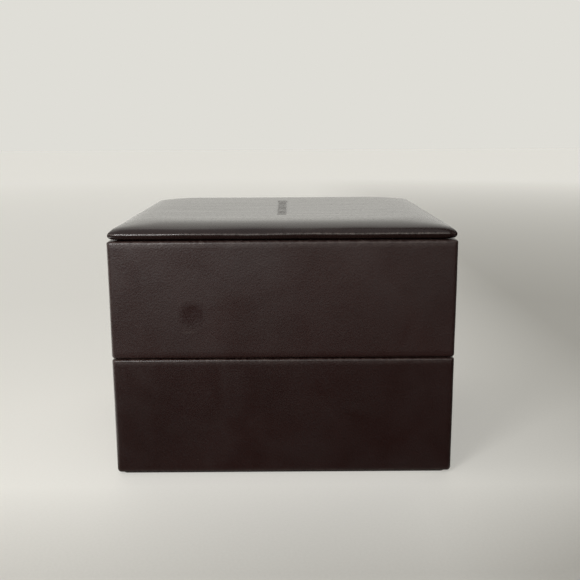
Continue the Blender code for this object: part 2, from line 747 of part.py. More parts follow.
# ---------------------------------------------------------------- drum: cup, collar, gear, shaft
cup_inner = CUP_RADIUS - CUP_WALL
cup_floor = -CUP_DEPTH + CUP_WALL
CUP_RIM = 0.0012
cup = [
    (CUP_RADIUS, CUP_RIM),
    (CUP_RADIUS, -CUP_DEPTH + 0.002),
    (CUP_RADIUS - 0.002, -CUP_DEPTH),
    (0.0085, -CUP_DEPTH),
    (0.0080, GEAR_TOP + GAP),
    (SHAFT_BORE, GEAR_TOP + GAP),
    (SHAFT_BORE, cup_floor),
    (cup_inner - 0.0015, cup_floor),
    (cup_inner, cup_floor + 0.0015),
    (cup_inner, CUP_RIM),
]
turned("drum_cup", cup, "black_plastic", DRUM_FRAME, sides=WIDE_ROUND, ring=True)

# the collar holds the cushion by its ends and leaves room for a strap round its middle
COLLAR_LOW, COLLAR_TOP = -0.010, -0.004
STRAP_X, STRAP_Y = 0.0135, CUSHION_Y + 0.0055  # half sizes of the room for the strap
collar_hole = round_rectangle(CUSHION_X + 0.0008, CUSHION_Y + 0.0008, 0.0085)
collar = as_mesh(
    plate(
        "cup_collar",
        [circle(cup_inner - GAP, WIDE_ROUND), collar_hole],
        COLLAR_LOW,
        COLLAR_TOP,
        "suede",
        DRUM_FRAME,
    )
)
strap_low = (-STRAP_X, -STRAP_Y, COLLAR_LOW - 0.002)
strap_high = (STRAP_X, STRAP_Y, COLLAR_TOP + 0.002)
cut(collar, box("strap_slots", strap_low, strap_high, frame=DRUM_FRAME))


def gear_outline(teeth, centre_angle, thinned=0.0001):
    """An involute outline whose first tooth is centred on centre_angle."""
    pitch = MODULE * teeth / 2
    pressure = math.radians(20)
    base = pitch * math.cos(pressure)
    tip, root = pitch + 0.9 * MODULE, pitch - 1.2 * MODULE
    at_pitch = math.pi / (2 * teeth) - thinned / (2 * pitch)

    def half_angle(radius):
        turn = math.acos(min(1.0, base / radius)) if radius > base else 0.0
        return at_pitch + (math.tan(pressure) - pressure) - (math.tan(turn) - turn)

    flank = [(radius, half_angle(max(radius, base))) for radius in (root, pitch, tip)]
    points = []
    for i in range(teeth):
        centre = centre_angle + math.tau * i / teeth
        sides = [(r, centre - h) for r, h in flank] + [(r, centre + h) for r, h in reversed(flank)]
        points += [(r * math.cos(a), r * math.sin(a)) for r, a in sides]
    return points


GEAR_LOW = GEAR_TOP - GEAR_THICK
towards_motor = math.pi / 2
plate(
    "drum_gear",
    [gear_outline(GEAR_TEETH, towards_motor), circle(SHAFT_BORE, SMALL_ROUND)],
    GEAR_LOW,
    GEAR_TOP,
    "white_plastic",
    DRUM_FRAME,
)
SHAFT_TOP = -0.0378
SHAFT_LOW = -0.0585
shaft = rod("drum_shaft", SHAFT_RADIUS, SHAFT_LOW, SHAFT_TOP, "steel", DRUM_FRAME, sides=ROUND)
cut(shaft, rod("shaft_thread", 0.0019, SHAFT_TOP - 0.008, SHAFT_TOP + 0.002, frame=DRUM_FRAME, sides=10))
pan_screw("hub_screw", 0, 0, cup_floor + GAP, 0.007, -1, DRUM_FRAME, radius=0.0016, head=0.0052)

flange_top = GEAR_LOW - GAP
flange_low = PLATE_TOP + GAP
bush = [
    (0.0085, flange_top),
    (0.0085, flange_low),
    (0.0064, flange_low),
    (0.0064, PLATE_LOW - 0.002),
    (SHAFT_RADIUS + FIT, PLATE_LOW - 0.002),
    (SHAFT_RADIUS + FIT, flange_top),
]
turned("shaft_bush", bush, "brass", WINDER_FRAME, sides=ROUND, ring=True)


def clip_outline(inner_radius, outer_radius, mouth):
    """A ring open by the angle mouth, on its -X side."""
    spread = [mouth / 2 + (math.tau - mouth) * i / 20 for i in range(21)]
    outside = [(-outer_radius * math.cos(a), -outer_radius * math.sin(a)) for a in spread]
    inside = [(-inner_radius * math.cos(a), -inner_radius * math.sin(a)) for a in reversed(spread)]
    return outside + inside


clip_top = PLATE_LOW - 0.002 - GAP
plate(
    "shaft_clip",
    [clip_outline(SHAFT_BORE, 0.0070, math.radians(70))],
    clip_top - 0.0008,
    clip_top,
    "steel",
    DRUM_FRAME,
)

# ---------------------------------------------------------------- watch cushion, in two sprung halves
TONGUE_X, TONGUE_Z = 0.024, 0.014  # half sizes of the tongue's section
TONGUE_END = 0.0100
TONGUE_ROOM = 0.0004
POCKET_END = 0.0190
SPRING_RADIUS = 0.0042
SPRING_WIRE = 0.0005
SPRING_LOW = -0.004
cushion_middle = (CUSHION_LOW + CUSHION_HIGH) / 2


def cushion_half(name, side):
    """One half, on the -Y or +Y side of the split: round at its far face, crisp at the split."""
    ends = sorted((side * CUSHION_GAP, side * CUSHION_Y))
    low, high = (-CUSHION_X, ends[0], CUSHION_LOW), (CUSHION_X, ends[1], CUSHION_HIGH)
    half_length = (CUSHION_Y - CUSHION_GAP) / 2

    def weight(middle, direction):
        along = middle.y * side / half_length  # -1 at the split and +1 at the far face
        if along > 0.9:
            return 1.0
        return 0.12 if along < -0.9 else 0.6

    return rounded(box(name, low, high, "leather", DRUM_FRAME), CUSHION_ROUND, weight, segments=3)


base_half = cushion_half("cushion_base_half", -1)
tongue_low = (-TONGUE_X, -CUSHION_GAP - 0.004, cushion_middle - TONGUE_Z)
tongue_high = (TONGUE_X, TONGUE_END, cushion_middle + TONGUE_Z)
join(base_half, box("cushion_tongue", tongue_low, tongue_high, frame=DRUM_FRAME))
seat_radius = SPRING_RADIUS + 0.0012
spring_at = (0, 0, cushion_middle)
spring_seat = rod("spring_seat", seat_radius, -TONGUE_END - 0.002, -SPRING_LOW, None, DRUM_FRAME, spring_at)
spring_seat.rotation_euler.x = math.pi / 2
cut(base_half, spring_seat)

jaw = cushion_half("cushion_jaw", 1)
pocket_low = (-TONGUE_X - TONGUE_ROOM, CUSHION_GAP - 0.002, cushion_middle - TONGUE_Z - TONGUE_ROOM)
pocket_high = (TONGUE_X + TONGUE_ROOM, POCKET_END, cushion_middle + TONGUE_Z + TONGUE_ROOM)
cut(jaw, box("cushion_pocket", pocket_low, pocket_high, frame=DRUM_FRAME))

# compression spring between the bottom of its seat and the end of the pocket, along the jaw's travel
SPRING_TURNS = 5
spring_curve = bpy.data.curves.new("cushion_spring", "CURVE")
spring_curve.dimensions = "3D"
spring_curve.bevel_depth = SPRING_WIRE
spring_curve.bevel_resolution = 2
spring_curve.use_fill_caps = True
spring_line = spring_curve.splines.new("POLY")
PER_TURN = 10
spring_points = SPRING_TURNS * PER_TURN + 1
spring_line.points.add(spring_points - 1)
spring_start = SPRING_LOW + SPRING_WIRE + GAP
spring_end = POCKET_END - SPRING_WIRE - GAP
for i, point in enumerate(spring_line.points):
    share = i / (spring_points - 1)
    angle = math.tau * SPRING_TURNS * share
    along = spring_start + (spring_end - spring_start) * share
    point.co = (SPRING_RADIUS * math.cos(angle), along, cushion_middle + SPRING_RADIUS * math.sin(angle), 1)
place("cushion_spring", spring_curve, "steel", DRUM_FRAME)

# ---------------------------------------------------------------- gear motor
GEARBOX_TOP = PLATE_LOW - GAP
GEARBOX_LOW = GEARBOX_TOP - 0.016
gearbox = turned(
    "motor_gearbox",
    [
        (0, -0.0505),
        (0.0041, -0.0505),
        (0.0041, GEARBOX_TOP),
        (0.0125, GEARBOX_TOP),
        (0.0125, GEARBOX_LOW),
        (0, GEARBOX_LOW),
    ],
    "steel",
    WINDER_FRAME,
    (0, MOTOR_Y, 0),
)
gearbox.rotation_euler.z = math.pi / ROUND  # so that no facet's edge runs into a thread
motor_axis = (0, MOTOR_Y, 0)
cut(gearbox, rod("gearbox_bore", 0.0023, -0.0605, -0.0490, frame=WINDER_FRAME, at=motor_axis, sides=12))
for side, x in (("left", -MOTOR_SCREW_X), ("right", MOTOR_SCREW_X)):
    axis_point = (x, MOTOR_Y, 0)
    thread_low = GEARBOX_TOP - 0.008
    thread = rod(f"gearbox_thread_{side}", 0.0017, thread_low, -0.050, None, WINDER_FRAME, axis_point, 8)
    cut(gearbox, thread)
    pan_screw(f"motor_screw_{side}", x, MOTOR_Y, PLATE_TOP + GAP, 0.0085, -1, WINDER_FRAME)
CAN_TOP = GEARBOX_LOW - GAP
CAN_LOW = CAN_TOP - 0.0225
turned(
    "motor_can",
    [
        (0, CAN_TOP),
        (0.0118, CAN_TOP),
        (0.0118, CAN_LOW + 0.001),
        (0.0108, CAN_LOW),
        (0.0036, CAN_LOW),
        (0.0036, CAN_LOW - 0.0015),
        (0, CAN_LOW - 0.0015),
    ],
    "steel",
    WINDER_FRAME,
    (0, MOTOR_Y, 0),
)
rod("motor_shaft", 0.0020, -0.0600, GEAR_TOP - 0.0004, "steel", MOTOR_FRAME)
tooth_gap = -math.pi / 2 + math.pi / PINION_TEETH
plate(
    "motor_pinion",
    [gear_outline(PINION_TEETH, tooth_gap), circle(0.0023, 12)],
    GEAR_LOW + GAP,
    GEAR_TOP,
    "brass",
    MOTOR_FRAME,
)

# ---------------------------------------------------------------- controls on the deck
SWITCH_TOP = DECK_LOW - GAP
selector_body = box(
    "selector_switch",
    (STRIP_X - 0.006, SELECTOR_Y - 0.006, SWITCH_TOP - 0.008),
    (STRIP_X + 0.006, SELECTOR_Y + 0.006, SWITCH_TOP),
    "black_plastic",
)
selector_axis = (STRIP_X, SELECTOR_Y, 0)
join(selector_body, rod("selector_neck", 0.0034, SWITCH_TOP - 0.002, DECK_TOP + 0.001, at=selector_axis))
cut(selector_body, rod("selector_bore", 0.0023, SWITCH_TOP - 0.003, DECK_TOP + 0.004, at=selector_axis))
KNOB_LOW, KNOB_TOP = DECK_TOP + 0.0014, 0.0605
knob_profile = [
    (0, KNOB_TOP),
    (0.0066, KNOB_TOP),
    (0.0074, KNOB_TOP - 0.0008),
    (0.0080, KNOB_LOW),
    (0.0020, KNOB_LOW),
    (0.0020, SWITCH_TOP - 0.0025),
    (0, SWITCH_TOP - 0.0025),
]
turned("selector_knob", knob_profile, "chrome", None, selector_axis)

button_body = box(
    "power_switch",
    (STRIP_X - 0.0055, BUTTON_Y - 0.0055, SWITCH_TOP - 0.010),
    (STRIP_X + 0.0055, BUTTON_Y + 0.0055, SWITCH_TOP),
    "black_plastic",
)
button_neck = turned(
    "power_neck",
    [
        (0, DECK_TOP + 0.0014),
        (0.0066, DECK_TOP + 0.0014),
        (0.0072, DECK_TOP + GAP),
        (0.0058, DECK_TOP + GAP),
        (0.0058, DECK_LOW - 0.001),
        (0.0050, SWITCH_TOP - 0.002),
        (0, SWITCH_TOP - 0.002),
    ],
    at=(STRIP_X, BUTTON_Y, 0),
)
join(button_body, button_neck)
BUTTON_LOW, BUTTON_TOP, BUTTON_TRAVEL = 0.0430, 0.0538, 0.0015
bore_low = BUTTON_LOW - BUTTON_TRAVEL - 0.0007
button_axis = (STRIP_X, BUTTON_Y, 0)
cut(button_body, rod("power_bore", 0.0046, bore_low, DECK_TOP + 0.004, at=button_axis, sides=ROUND))
button_profile = [
    (0, BUTTON_TOP),
    (0.0036, BUTTON_TOP),
    (0.0042, BUTTON_TOP - 0.0006),
    (0.0042, BUTTON_LOW),
    (0, BUTTON_LOW),
]
turned("power_button", button_profile, "chrome", None, button_axis)
LED_TOP, LED_STEP, LED_LOW = 0.0518, 0.0468, 0.0450
led_profile = [
    (0, LED_TOP),
    (0.0014, LED_TOP - 0.0004),
    (0.0022, LED_TOP - 0.0016),
    (0.0022, LED_STEP),
    (0.0030, LED_STEP),
    (0.0030, LED_LOW),
    (0, LED_LOW),
]
turned("indicator_led", led_profile, "led", None, (STRIP_X, LED_Y, 0), SMALL_ROUND)

# ---------------------------------------------------------------- power inlet, circuit board and leads
wall_back = CASE_DEPTH / 2
jack_profile = [  # along the jack's axis, whose +Z faces out of the back wall at 0
    (0, -0.0015),
    (0.0010, -0.0015),
    (0.0010, -0.0100),
    (0.0029, -0.0100),
    (0.0029, 0.0012),
    (0.0052, 0.0012),
    (0.0058, 0.0006),
    (0.0058, GAP),
    (0.0040, GAP),
    (0.0040, -0.0150),
    (0, -0.0150),
]
jack = turned("dc_jack", jack_profile, "black_plastic", None, (JACK_X, wall_back, JACK_Z), 16)
jack.rotation_euler.x = -math.pi / 2
for shell in (base_leather, base_core):
    hole = rod(
        f"{shell.name}_jack_hole", 0.0044, -0.012, 0.003, at=(JACK_X, wall_back, JACK_Z), sides=16
    )
    hole.rotation_euler.x = -math.pi / 2
    cut(shell, hole)

BOARD_LOW = CORE_FLOOR + 0.0045
BOARD_TOP = BOARD_LOW + 0.0016
BOARD_X, BOARD_Y = (0.022, 0.072), (-0.076, -0.042)
board_low, board_high = (BOARD_X[0], BOARD_Y[0], BOARD_LOW), (BOARD_X[1], BOARD_Y[1], BOARD_TOP)
board = box("circuit_board", board_low, board_high, "circuit")
FOOT_INSET = 0.004
for x in (BOARD_X[0] + FOOT_INSET, BOARD_X[1] - FOOT_INSET):
    for y in (BOARD_Y[0] + FOOT_INSET, BOARD_Y[1] - FOOT_INSET):
        foot_name = f"board_foot_{x:.3f}_{y:.3f}"
        foot = rod(foot_name, 0.0024, CORE_FLOOR + GAP, BOARD_LOW + 0.0008, at=(x, y, 0), sides=8)
        join(board, foot)
for name, low, high in (
    ("chip", (0.034, -0.066), (0.043, -0.059)),
    ("socket_motor", (0.0505, -0.0475), (0.0570, -0.0424)),
    ("socket_jack", (0.0572, -0.0475), (0.0637, -0.0424)),
):
    tall = 0.0018 if name == "chip" else 0.0050
    join(board, box("board_" + name, (*low, BOARD_TOP - 0.0008), (*high, BOARD_TOP + tall)))
capacitor = rod("board_capacitor", 0.0040, BOARD_TOP - 0.0008, BOARD_TOP + 0.0090, at=(0.028, -0.056, 0))
join(board, capacitor)

LEAD = 0.0012
floor_run = CORE_FLOOR + LEAD + GAP
plug_z = BOARD_TOP + 0.0028
plug_y = -0.0420
jack_end = wall_back - 0.0150 - GAP
lead(
    "jack_lead",
    [
        (JACK_X, jack_end, JACK_Z),
        (JACK_X, jack_end - 0.006, JACK_Z - 0.002),
        (JACK_X + 0.001, 0.058, 0.014),
        (JACK_X + 0.002, 0.046, floor_run + 0.0004),
        (JACK_X + 0.002, 0.010, floor_run + 0.0004),
        (JACK_X + 0.001, -0.020, floor_run + 0.0006),
        (JACK_X, -0.034, plug_z - 0.002),
        (JACK_X, plug_y, plug_z),
    ],
    LEAD,
    "wire",
)
motor_end = CAN_LOW - 0.0015 - GAP
motor_back = CUP_CENTRE + Matrix.Rotation(TILT, 3, "X") @ Vector((0, MOTOR_Y, motor_end))
lead(
    "motor_lead",
    [
        motor_back,
        motor_back + Vector((0.001, 0.004, -0.0055)),
        (0.008, 0.064, floor_run + 0.0020),
        (0.024, 0.064, floor_run + 0.0004),
        (0.044, 0.052, floor_run + 0.0004),
        (0.054, 0.034, floor_run + 0.0004),
        (0.0545, 0.004, floor_run + 0.0004),
        (0.0540, -0.020, floor_run + 0.0006),
        (0.0538, -0.034, plug_z - 0.002),
        (0.0538, plug_y, plug_z),
    ],
    LEAD,
    "wire",
)
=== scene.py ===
"""Looks of the watch winder box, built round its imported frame. Metres, +Z up, front towards -Y."""

import json
import math

import bmesh
import bpy
from mathutils import Matrix, Vector, noise
from mathutils.bvhtree import BVHTree

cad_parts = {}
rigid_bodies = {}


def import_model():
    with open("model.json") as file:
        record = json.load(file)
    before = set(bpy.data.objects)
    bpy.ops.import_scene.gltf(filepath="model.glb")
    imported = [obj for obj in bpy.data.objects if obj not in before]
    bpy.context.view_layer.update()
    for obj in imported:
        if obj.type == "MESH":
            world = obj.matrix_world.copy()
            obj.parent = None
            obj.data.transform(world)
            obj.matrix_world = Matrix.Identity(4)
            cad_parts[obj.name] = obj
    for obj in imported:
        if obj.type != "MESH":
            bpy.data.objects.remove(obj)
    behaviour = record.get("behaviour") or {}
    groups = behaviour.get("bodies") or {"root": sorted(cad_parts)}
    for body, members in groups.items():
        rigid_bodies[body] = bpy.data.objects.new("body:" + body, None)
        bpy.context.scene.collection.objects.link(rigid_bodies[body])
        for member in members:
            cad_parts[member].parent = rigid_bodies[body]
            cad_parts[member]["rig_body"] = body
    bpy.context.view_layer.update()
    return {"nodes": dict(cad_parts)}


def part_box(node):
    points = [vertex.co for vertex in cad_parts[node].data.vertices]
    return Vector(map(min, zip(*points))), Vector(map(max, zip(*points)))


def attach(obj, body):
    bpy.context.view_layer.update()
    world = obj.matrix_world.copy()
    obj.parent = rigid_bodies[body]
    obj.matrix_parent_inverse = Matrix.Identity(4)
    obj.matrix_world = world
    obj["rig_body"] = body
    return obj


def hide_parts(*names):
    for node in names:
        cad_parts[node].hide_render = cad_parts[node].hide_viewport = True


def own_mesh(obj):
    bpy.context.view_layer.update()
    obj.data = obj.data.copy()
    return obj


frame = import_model()
NODES = frame["nodes"]

# ---------------------------------------------------------------- dimensions shared with the frame
case_low, case_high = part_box("base_leather")
HALF_X, HALF_Y = case_high.x, case_high.y
BASE_BOTTOM, RIM_BASE = case_low.z, case_high.z
RIM_LID, BODY_TOP = (corner.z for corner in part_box("lid_leather"))
PAD_LOW, PAD_TOP = (corner.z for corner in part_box("pad_leather"))
DECK_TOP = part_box("deck_panel")[1].z
LEATHER = 0.0010
SAG = 0.0003  # the base's leather bellies down to the felt
GAP = 0.0003
RIM_WIDTH = 0.0091  # from the outer face to the leather turned in over the rim
TURN_IN_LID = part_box("lid_lining")[0].z - GAP
TURN_OVER = 0.012
EDGE = 0.0021  # radius of the upright edges and of the base's lower end
TOP_EDGE = 0.0012  # radius of the lid's upper end, which is drawn tighter
RIM_EDGE, LID_RIM_EDGE = 0.0009, 0.0015  # radius of each rim

TILT = math.radians(35)
CUP_CENTRE = Vector((0, -0.022, 0.081))
TILTED = Matrix.Translation(CUP_CENTRE) @ Matrix.Rotation(TILT, 4, "X")
HINGE_X, HINGE_Z = 0.050, (RIM_BASE + RIM_LID) / 2

DENT_PLACE, DENT_RADIUS, DENT_DEPTH = Vector((-HALF_X, 0.047, 0.088)), 0.0070, 0.00012
SCUFF_PLACE = Vector((-HALF_X, 0.0490, 0.0790))


# ---------------------------------------------------------------- materials
def add_node(tree, kind, inputs=None, **settings):
    """Adds a node; its inputs are numbers or the sockets they are linked from."""
    node = tree.nodes.new(kind)
    for key, value in settings.items():
        setattr(node, key, value)
    for key, value in (inputs or {}).items():
        if isinstance(value, bpy.types.NodeSocket):
            tree.links.new(value, node.inputs[key])
        else:
            node.inputs[key].default_value = value
    return node


def toned(colour, share):
    return tuple(c * share for c in colour)


class Look:
    """A Principled material, with short ways to add nodes to it."""

    def __init__(self, name, roughness=0.5, metallic=0.0, **sockets):
        self.material = bpy.data.materials.new(name)
        self.material.use_nodes = True
        self.tree = self.material.node_tree
        self.shader = self.tree.nodes["Principled BSDF"]
        self.shader.inputs["Roughness"].default_value = roughness
        self.shader.inputs["Metallic"].default_value = metallic
        for socket, value in sockets.items():
            self.shader.inputs[socket.replace("_", " ")].default_value = value
        self.place = self.add("ShaderNodeTexCoord").outputs["Object"]
        self.normal = None

    def add(self, kind, inputs=None, **settings):
        return add_node(self.tree, kind, inputs, **settings)

    def stretched(self, x, y, z):
        inputs = {"Vector": self.place, "Scale": (x, y, z)}
        return self.add("ShaderNodeMapping", inputs).outputs["Vector"]

    def noise(self, scale, detail=3.0, distortion=0.0, place=None):
        """Cloudy pattern whose features are about 1 / scale metres."""
        inputs = {"Vector": place or self.place, "Scale": scale, "Detail": detail}
        return self.add("ShaderNodeTexNoise", {**inputs, "Distortion": distortion}).outputs["Fac"]

    def cells(self, scale, feature="F1", place=None, output="Distance"):
        inputs = {"Vector": place or self.place, "Scale": scale}
        return self.add("ShaderNodeTexVoronoi", inputs, feature=feature).outputs[output]

    def spread(self, value, low, high, out_low=0.0, out_high=1.0):
        """The value carried from low...high to out_low...out_high, clamped."""
        inputs = dict(enumerate((value, low, high, out_low, out_high)))
        return self.add("ShaderNodeMapRange", inputs).outputs["Result"]

    def vary(self, noise, low=0.0, high=1.0):
        """A noise, whose values lie mostly in 0.3...0.7, carried to low...high."""
        return self.spread(noise, 0.3, 0.7, low, high)

    def math(self, operation, a, b=0.0):
        return self.add("ShaderNodeMath", {0: a, 1: b}, operation=operation).outputs["Value"]

    def length(self, vector):
        return self.add("ShaderNodeVectorMath", {0: vector}, operation="LENGTH").outputs["Value"]

    def mix(self, factor, a, b):
        """Colour a where factor is 0 and b where it is 1."""
        a, b = (c if isinstance(c, bpy.types.NodeSocket) else (*c, 1) for c in (a, b))
        return self.add("ShaderNodeMix", {"Factor": factor, 6: a, 7: b}, data_type="RGBA").outputs[2]

    def attribute(self, name):
        return self.add("ShaderNodeAttribute", attribute_name=name).outputs["Fac"]

    def bump(self, height, distance, strength=1.0):
        """Adds relief of that height, over the relief added before."""
        inputs = {"Height": height, "Distance": distance, "Strength": strength}
        if self.normal:
            inputs["Normal"] = self.normal
        self.normal = self.add("ShaderNodeBump", inputs).outputs["Normal"]

    def finish(self, **sockets):
        """Links the named sockets of the shader and returns the material."""
        for socket, value in sockets.items():
            self.tree.links.new(value, self.shader.inputs[socket.replace("_", " ")])
        if self.normal:
            self.tree.links.new(self.normal, self.shader.inputs["Normal"])
        return self.material


def leather(name, colour, pale, roughness, grain=1.0, wear=0.5, sleek=0.0, marks=()):
    """Dark coated leather: fine pebbled grain, faint clouds, dust specks and paler edges, partly worn
    and partly a painted highlight where the rounded edges catch the light. sleek from 0 to 1 swaps the
    grain's clouds for the drawn streaks of leather stretched over foam."""
    look = Look(name)
    pebbles = look.cells(1150.0, "SMOOTH_F1")
    pores = look.noise(2600.0, 2.0)
    cloud = look.noise(22.0, 4.0, 0.6)
    patches = look.noise(34.0, 5.0, 0.8)
    drawn = look.noise(160.0, 3.0, 0.2, look.stretched(1.0, 0.08, 1.0))
    look.bump(look.noise(85.0, 3.0, 0.4), 0.0003, 0.30 * (1 - sleek))
    look.bump(drawn, 0.0002, 0.22 * sleek)
    look.bump(pebbles, 0.00015, 0.30 * grain)
    look.bump(pores, 0.00006, 0.28 * grain)
    # Paler edges, from the mesh's wear attribute broken up by noise: partly wear, partly a painted
    # highlight on the rounded edges and the pad's fold.
    rubbed_and_highlit = look.spread(look.noise(520.0, 4.0), 0.38, 0.66)
    edge = look.math("MULTIPLY", look.attribute("wear"), rubbed_and_highlit)
    tone = look.mix(look.spread(cloud, 0.32, 0.70), colour, toned(colour, 1.22))
    tone = look.mix(look.spread(pebbles, 0.25, 0.62, 0.0, 0.35), tone, toned(colour, 0.62))
    specks = look.spread(look.cells(95.0), 0.030, 0.010, 0.0, 0.5)
    specks = look.math("MULTIPLY", specks, look.spread(look.noise(9.0, 3.0, 0.3), 0.54, 0.60))
    tone = look.mix(specks, tone, pale)
    tone = look.mix(look.math("MULTIPLY", edge, wear), tone, pale)
    spread = 0.05 - 0.035 * sleek
    uneven = look.vary(drawn if sleek else patches, roughness - spread, roughness + spread)
    rough = look.math("ADD", uneven, look.spread(pebbles, 0.2, 0.7, -0.03, 0.04))
    for mark in marks:
        tone, rough = marked(look, tone, rough, *mark)
    return look.finish(Base_Color=tone, Roughness=rough)


def marked(look, tone, rough, place, size, colour, strength, rougher):
    """The colour and roughness with a mark of that size along X, Y and Z, fading at a ragged rim."""
    inputs = {
        "Vector": look.place,
        "Location": tuple(-p / side for p, side in zip(place, size)),
        "Scale": tuple(1 / side for side in size),
    }
    away = look.length(look.add("ShaderNodeMapping", inputs).outputs["Vector"])
    away = look.math("ADD", away, look.vary(look.noise(420.0), -0.18, 0.18))
    tone = look.mix(look.spread(away, 1.0, 0.75, 0.0, strength), tone, colour)
    return tone, look.math("ADD", rough, look.spread(away, 1.0, 0.6, 0.0, rougher))


def suede(name, colour, scale=1.0):
    """Short-napped cloth: mottled where the nap lies differently, with a soft sheen."""
    look = Look(name, Specular_IOR_Level=0.15, Sheen_Weight=0.35, Sheen_Roughness=0.45)
    nap = look.noise(38.0 * scale, 4.0, 1.6)
    fibre = look.noise(3200.0, 2.0, 0.0, look.stretched(1.0, 0.45, 1.0))
    look.bump(nap, 0.0002, 0.35)
    look.bump(fibre, 0.00012, 0.7)
    tone = look.mix(look.spread(nap, 0.35, 0.65), toned(colour, 0.78), colour)
    tone = look.mix(look.vary(fibre, 0.0, 0.5), tone, toned(colour, 1.3))
    return look.finish(Base_Color=tone, Roughness=look.vary(fibre, 0.82, 0.98))


def felt(name, colour):
    look = Look(name, Specular_IOR_Level=0.1, Sheen_Weight=0.3)
    fibre = look.noise(1800.0, 4.0, 2.0)
    look.bump(fibre, 0.0003, 0.8)
    tone = look.mix(look.spread(fibre, 0.35, 0.65), toned(colour, 0.5), colour)
    return look.finish(Base_Color=tone, Roughness=look.vary(fibre, 0.85, 1.0))


def metal(name, colour, roughness, brushed=0.0, tarnish=0.8):
    """Metal with faint brushing along X and darker handling marks."""
    look = Look(name, metallic=1.0)
    lines = look.noise(900.0, 2.0, 0.0, look.stretched(0.05, 1.0, 1.0))
    smudge = look.noise(120.0, 4.0, 0.5)
    look.bump(lines, 0.00002, brushed)
    tone = look.mix(look.spread(smudge, 0.35, 0.7), colour, toned(colour, tarnish))
    handled = look.vary(smudge, roughness, roughness * 1.7)
    rough = look.math("ADD", handled, look.vary(lines, 0.0, brushed * 0.1))
    return look.finish(Base_Color=tone, Roughness=rough)


def plastic(name, colour, roughness, texture=0.3, **sockets):
    """Moulded plastic with a fine spark-eroded texture."""
    look = Look(name, **sockets)
    spark = look.noise(2400.0, 3.0)
    cloud = look.noise(60.0, 3.0)
    look.bump(spark, 0.00005, texture)
    tone = look.mix(look.vary(cloud), colour, toned(colour, 0.85))
    rough = look.vary(spark, roughness - 0.05, roughness + 0.08)
    return look.finish(Base_Color=tone, Roughness=rough)


def board(name, colour):
    """Cut fibreboard."""
    look = Look(name, Specular_IOR_Level=0.2)
    chips = look.noise(900.0, 5.0, 1.0)
    look.bump(chips, 0.0002, 0.6)
    tone = look.mix(look.vary(chips), toned(colour, 0.7), colour)
    return look.finish(Base_Color=tone, Roughness=look.vary(chips, 0.8, 0.95))


def circuit_look():
    """Solder mask with paler copper tracks under it."""
    look = Look("solder_mask", roughness=0.4)
    tracks = look.cells(420.0, "DISTANCE_TO_EDGE", look.stretched(1.0, 0.35, 1.0))
    tracks = look.spread(tracks, 0.05, 0.09)
    look.bump(tracks, 0.00004, 0.5)
    return look.finish(Base_Color=look.mix(tracks, (0.06, 0.30, 0.12), (0.015, 0.13, 0.05)))


LID_MARKS = (  # (place, size, colour, how strongly it is coloured, change of roughness)
    (DENT_PLACE, (0.004, 0.0075, 0.0075), (0.0150, 0.0032, 0.0026), 0.6, -0.10),
    (SCUFF_PLACE, (0.004, 0.0034, 0.0006), (0.10, 0.08, 0.07), 0.14, 0.0),
)
LED = {"Transmission_Weight": 0.6, "Emission_Color": (0.1, 0.9, 0.2, 1), "Emission_Strength": 0.15}
RECIPES = {  # name: (kind, colour, then what that kind takes)
    "case_leather": (leather, (0.0150, 0.0042, 0.0033), (0.10, 0.07, 0.06), 0.36),
    "pad_leather": (leather, (0.0150, 0.0070, 0.0060), (0.16, 0.13, 0.12), 0.24, 0.4, 0.45, 1.0),
    "cushion_leather": (leather, (0.030, 0.012, 0.009), (0.10, 0.06, 0.05), 0.42, 1.2),
    "suede": (suede, (0.42, 0.31, 0.21)),
    "lining": (suede, (0.40, 0.295, 0.20), 0.7),
    "felt": (felt, (0.030, 0.020, 0.018)),
    "board": (board, (0.42, 0.30, 0.19)),
    "foam": (board, (0.78, 0.72, 0.58)),
    "brass": (metal, (0.78, 0.57, 0.27), 0.22, 0.4),
    "steel": (metal, (0.56, 0.56, 0.58), 0.30, 0.5),
    "chrome": (metal, (0.82, 0.82, 0.84), 0.08, 0.0, 0.92),
    "black_plastic": (plastic, (0.018, 0.018, 0.020), 0.42),
    "white_plastic": (plastic, (0.78, 0.77, 0.72), 0.40),
    "wire": (plastic, (0.02, 0.02, 0.02), 0.5),
    "thread": (plastic, (0.055, 0.030, 0.024), 0.6, 0.8),
}
LOOKS = {name: kind(name, *rest) for name, (kind, *rest) in RECIPES.items()}
# The lid's leather is a paler, greyer copy of the case's: the paler tone is painted sheen, the haze
# that the lid's face shows above the seam.
LOOKS["lid_leather"] = leather(
    "lid_leather", (0.020, 0.0068, 0.0056), (0.12, 0.09, 0.08), 0.40, marks=LID_MARKS
)
LOOKS["led"] = plastic("led", (0.10, 0.60, 0.16), 0.12, 0.0, **LED)
LOOKS["circuit"] = circuit_look()
SLOTS = dict.fromkeys(("case_leather", "lid_leather", "pad_leather"), "leather")
SLOTS.update(lining="suede", thread=None)  # the other slots are called what their look is

KEPT_LOOKS = {  # looks of the frame's own pieces; the others are steel
    "board": ("base_core", "lid_core", "pad_board", "deck_frame"),
    "foam": ("pad_foam",),
    "lining": ("lid_lining",),
    "suede": ("deck_panel", "cup_collar"),
    "white_plastic": ("drum_gear",),
    "brass": ("motor_pinion", "shaft_bush"),
    "circuit": ("circuit_board",),
    "wire": ("motor_lead", "jack_lead"),
    "black_plastic": ("selector_switch",),
}
NODE_LOOKS = {name: look for look, names in KEPT_LOOKS.items() for name in names}
for node_name, node in NODES.items():
    node.data.materials.clear()
    node.data.materials.append(LOOKS[NODE_LOOKS.get(node_name, "steel")])


# ---------------------------------------------------------------- shape helpers
def to_mesh(name, bm):
    mesh = bpy.data.meshes.new(name)
    bm.to_mesh(mesh)
    bm.free()
    return mesh


def from_mesh(mesh):
    bm = bmesh.new()
    bm.from_mesh(mesh)
    return bm


def add_object(name, data):
    obj = bpy.data.objects.new(name, data)
    bpy.context.scene.collection.objects.link(obj)
    return obj


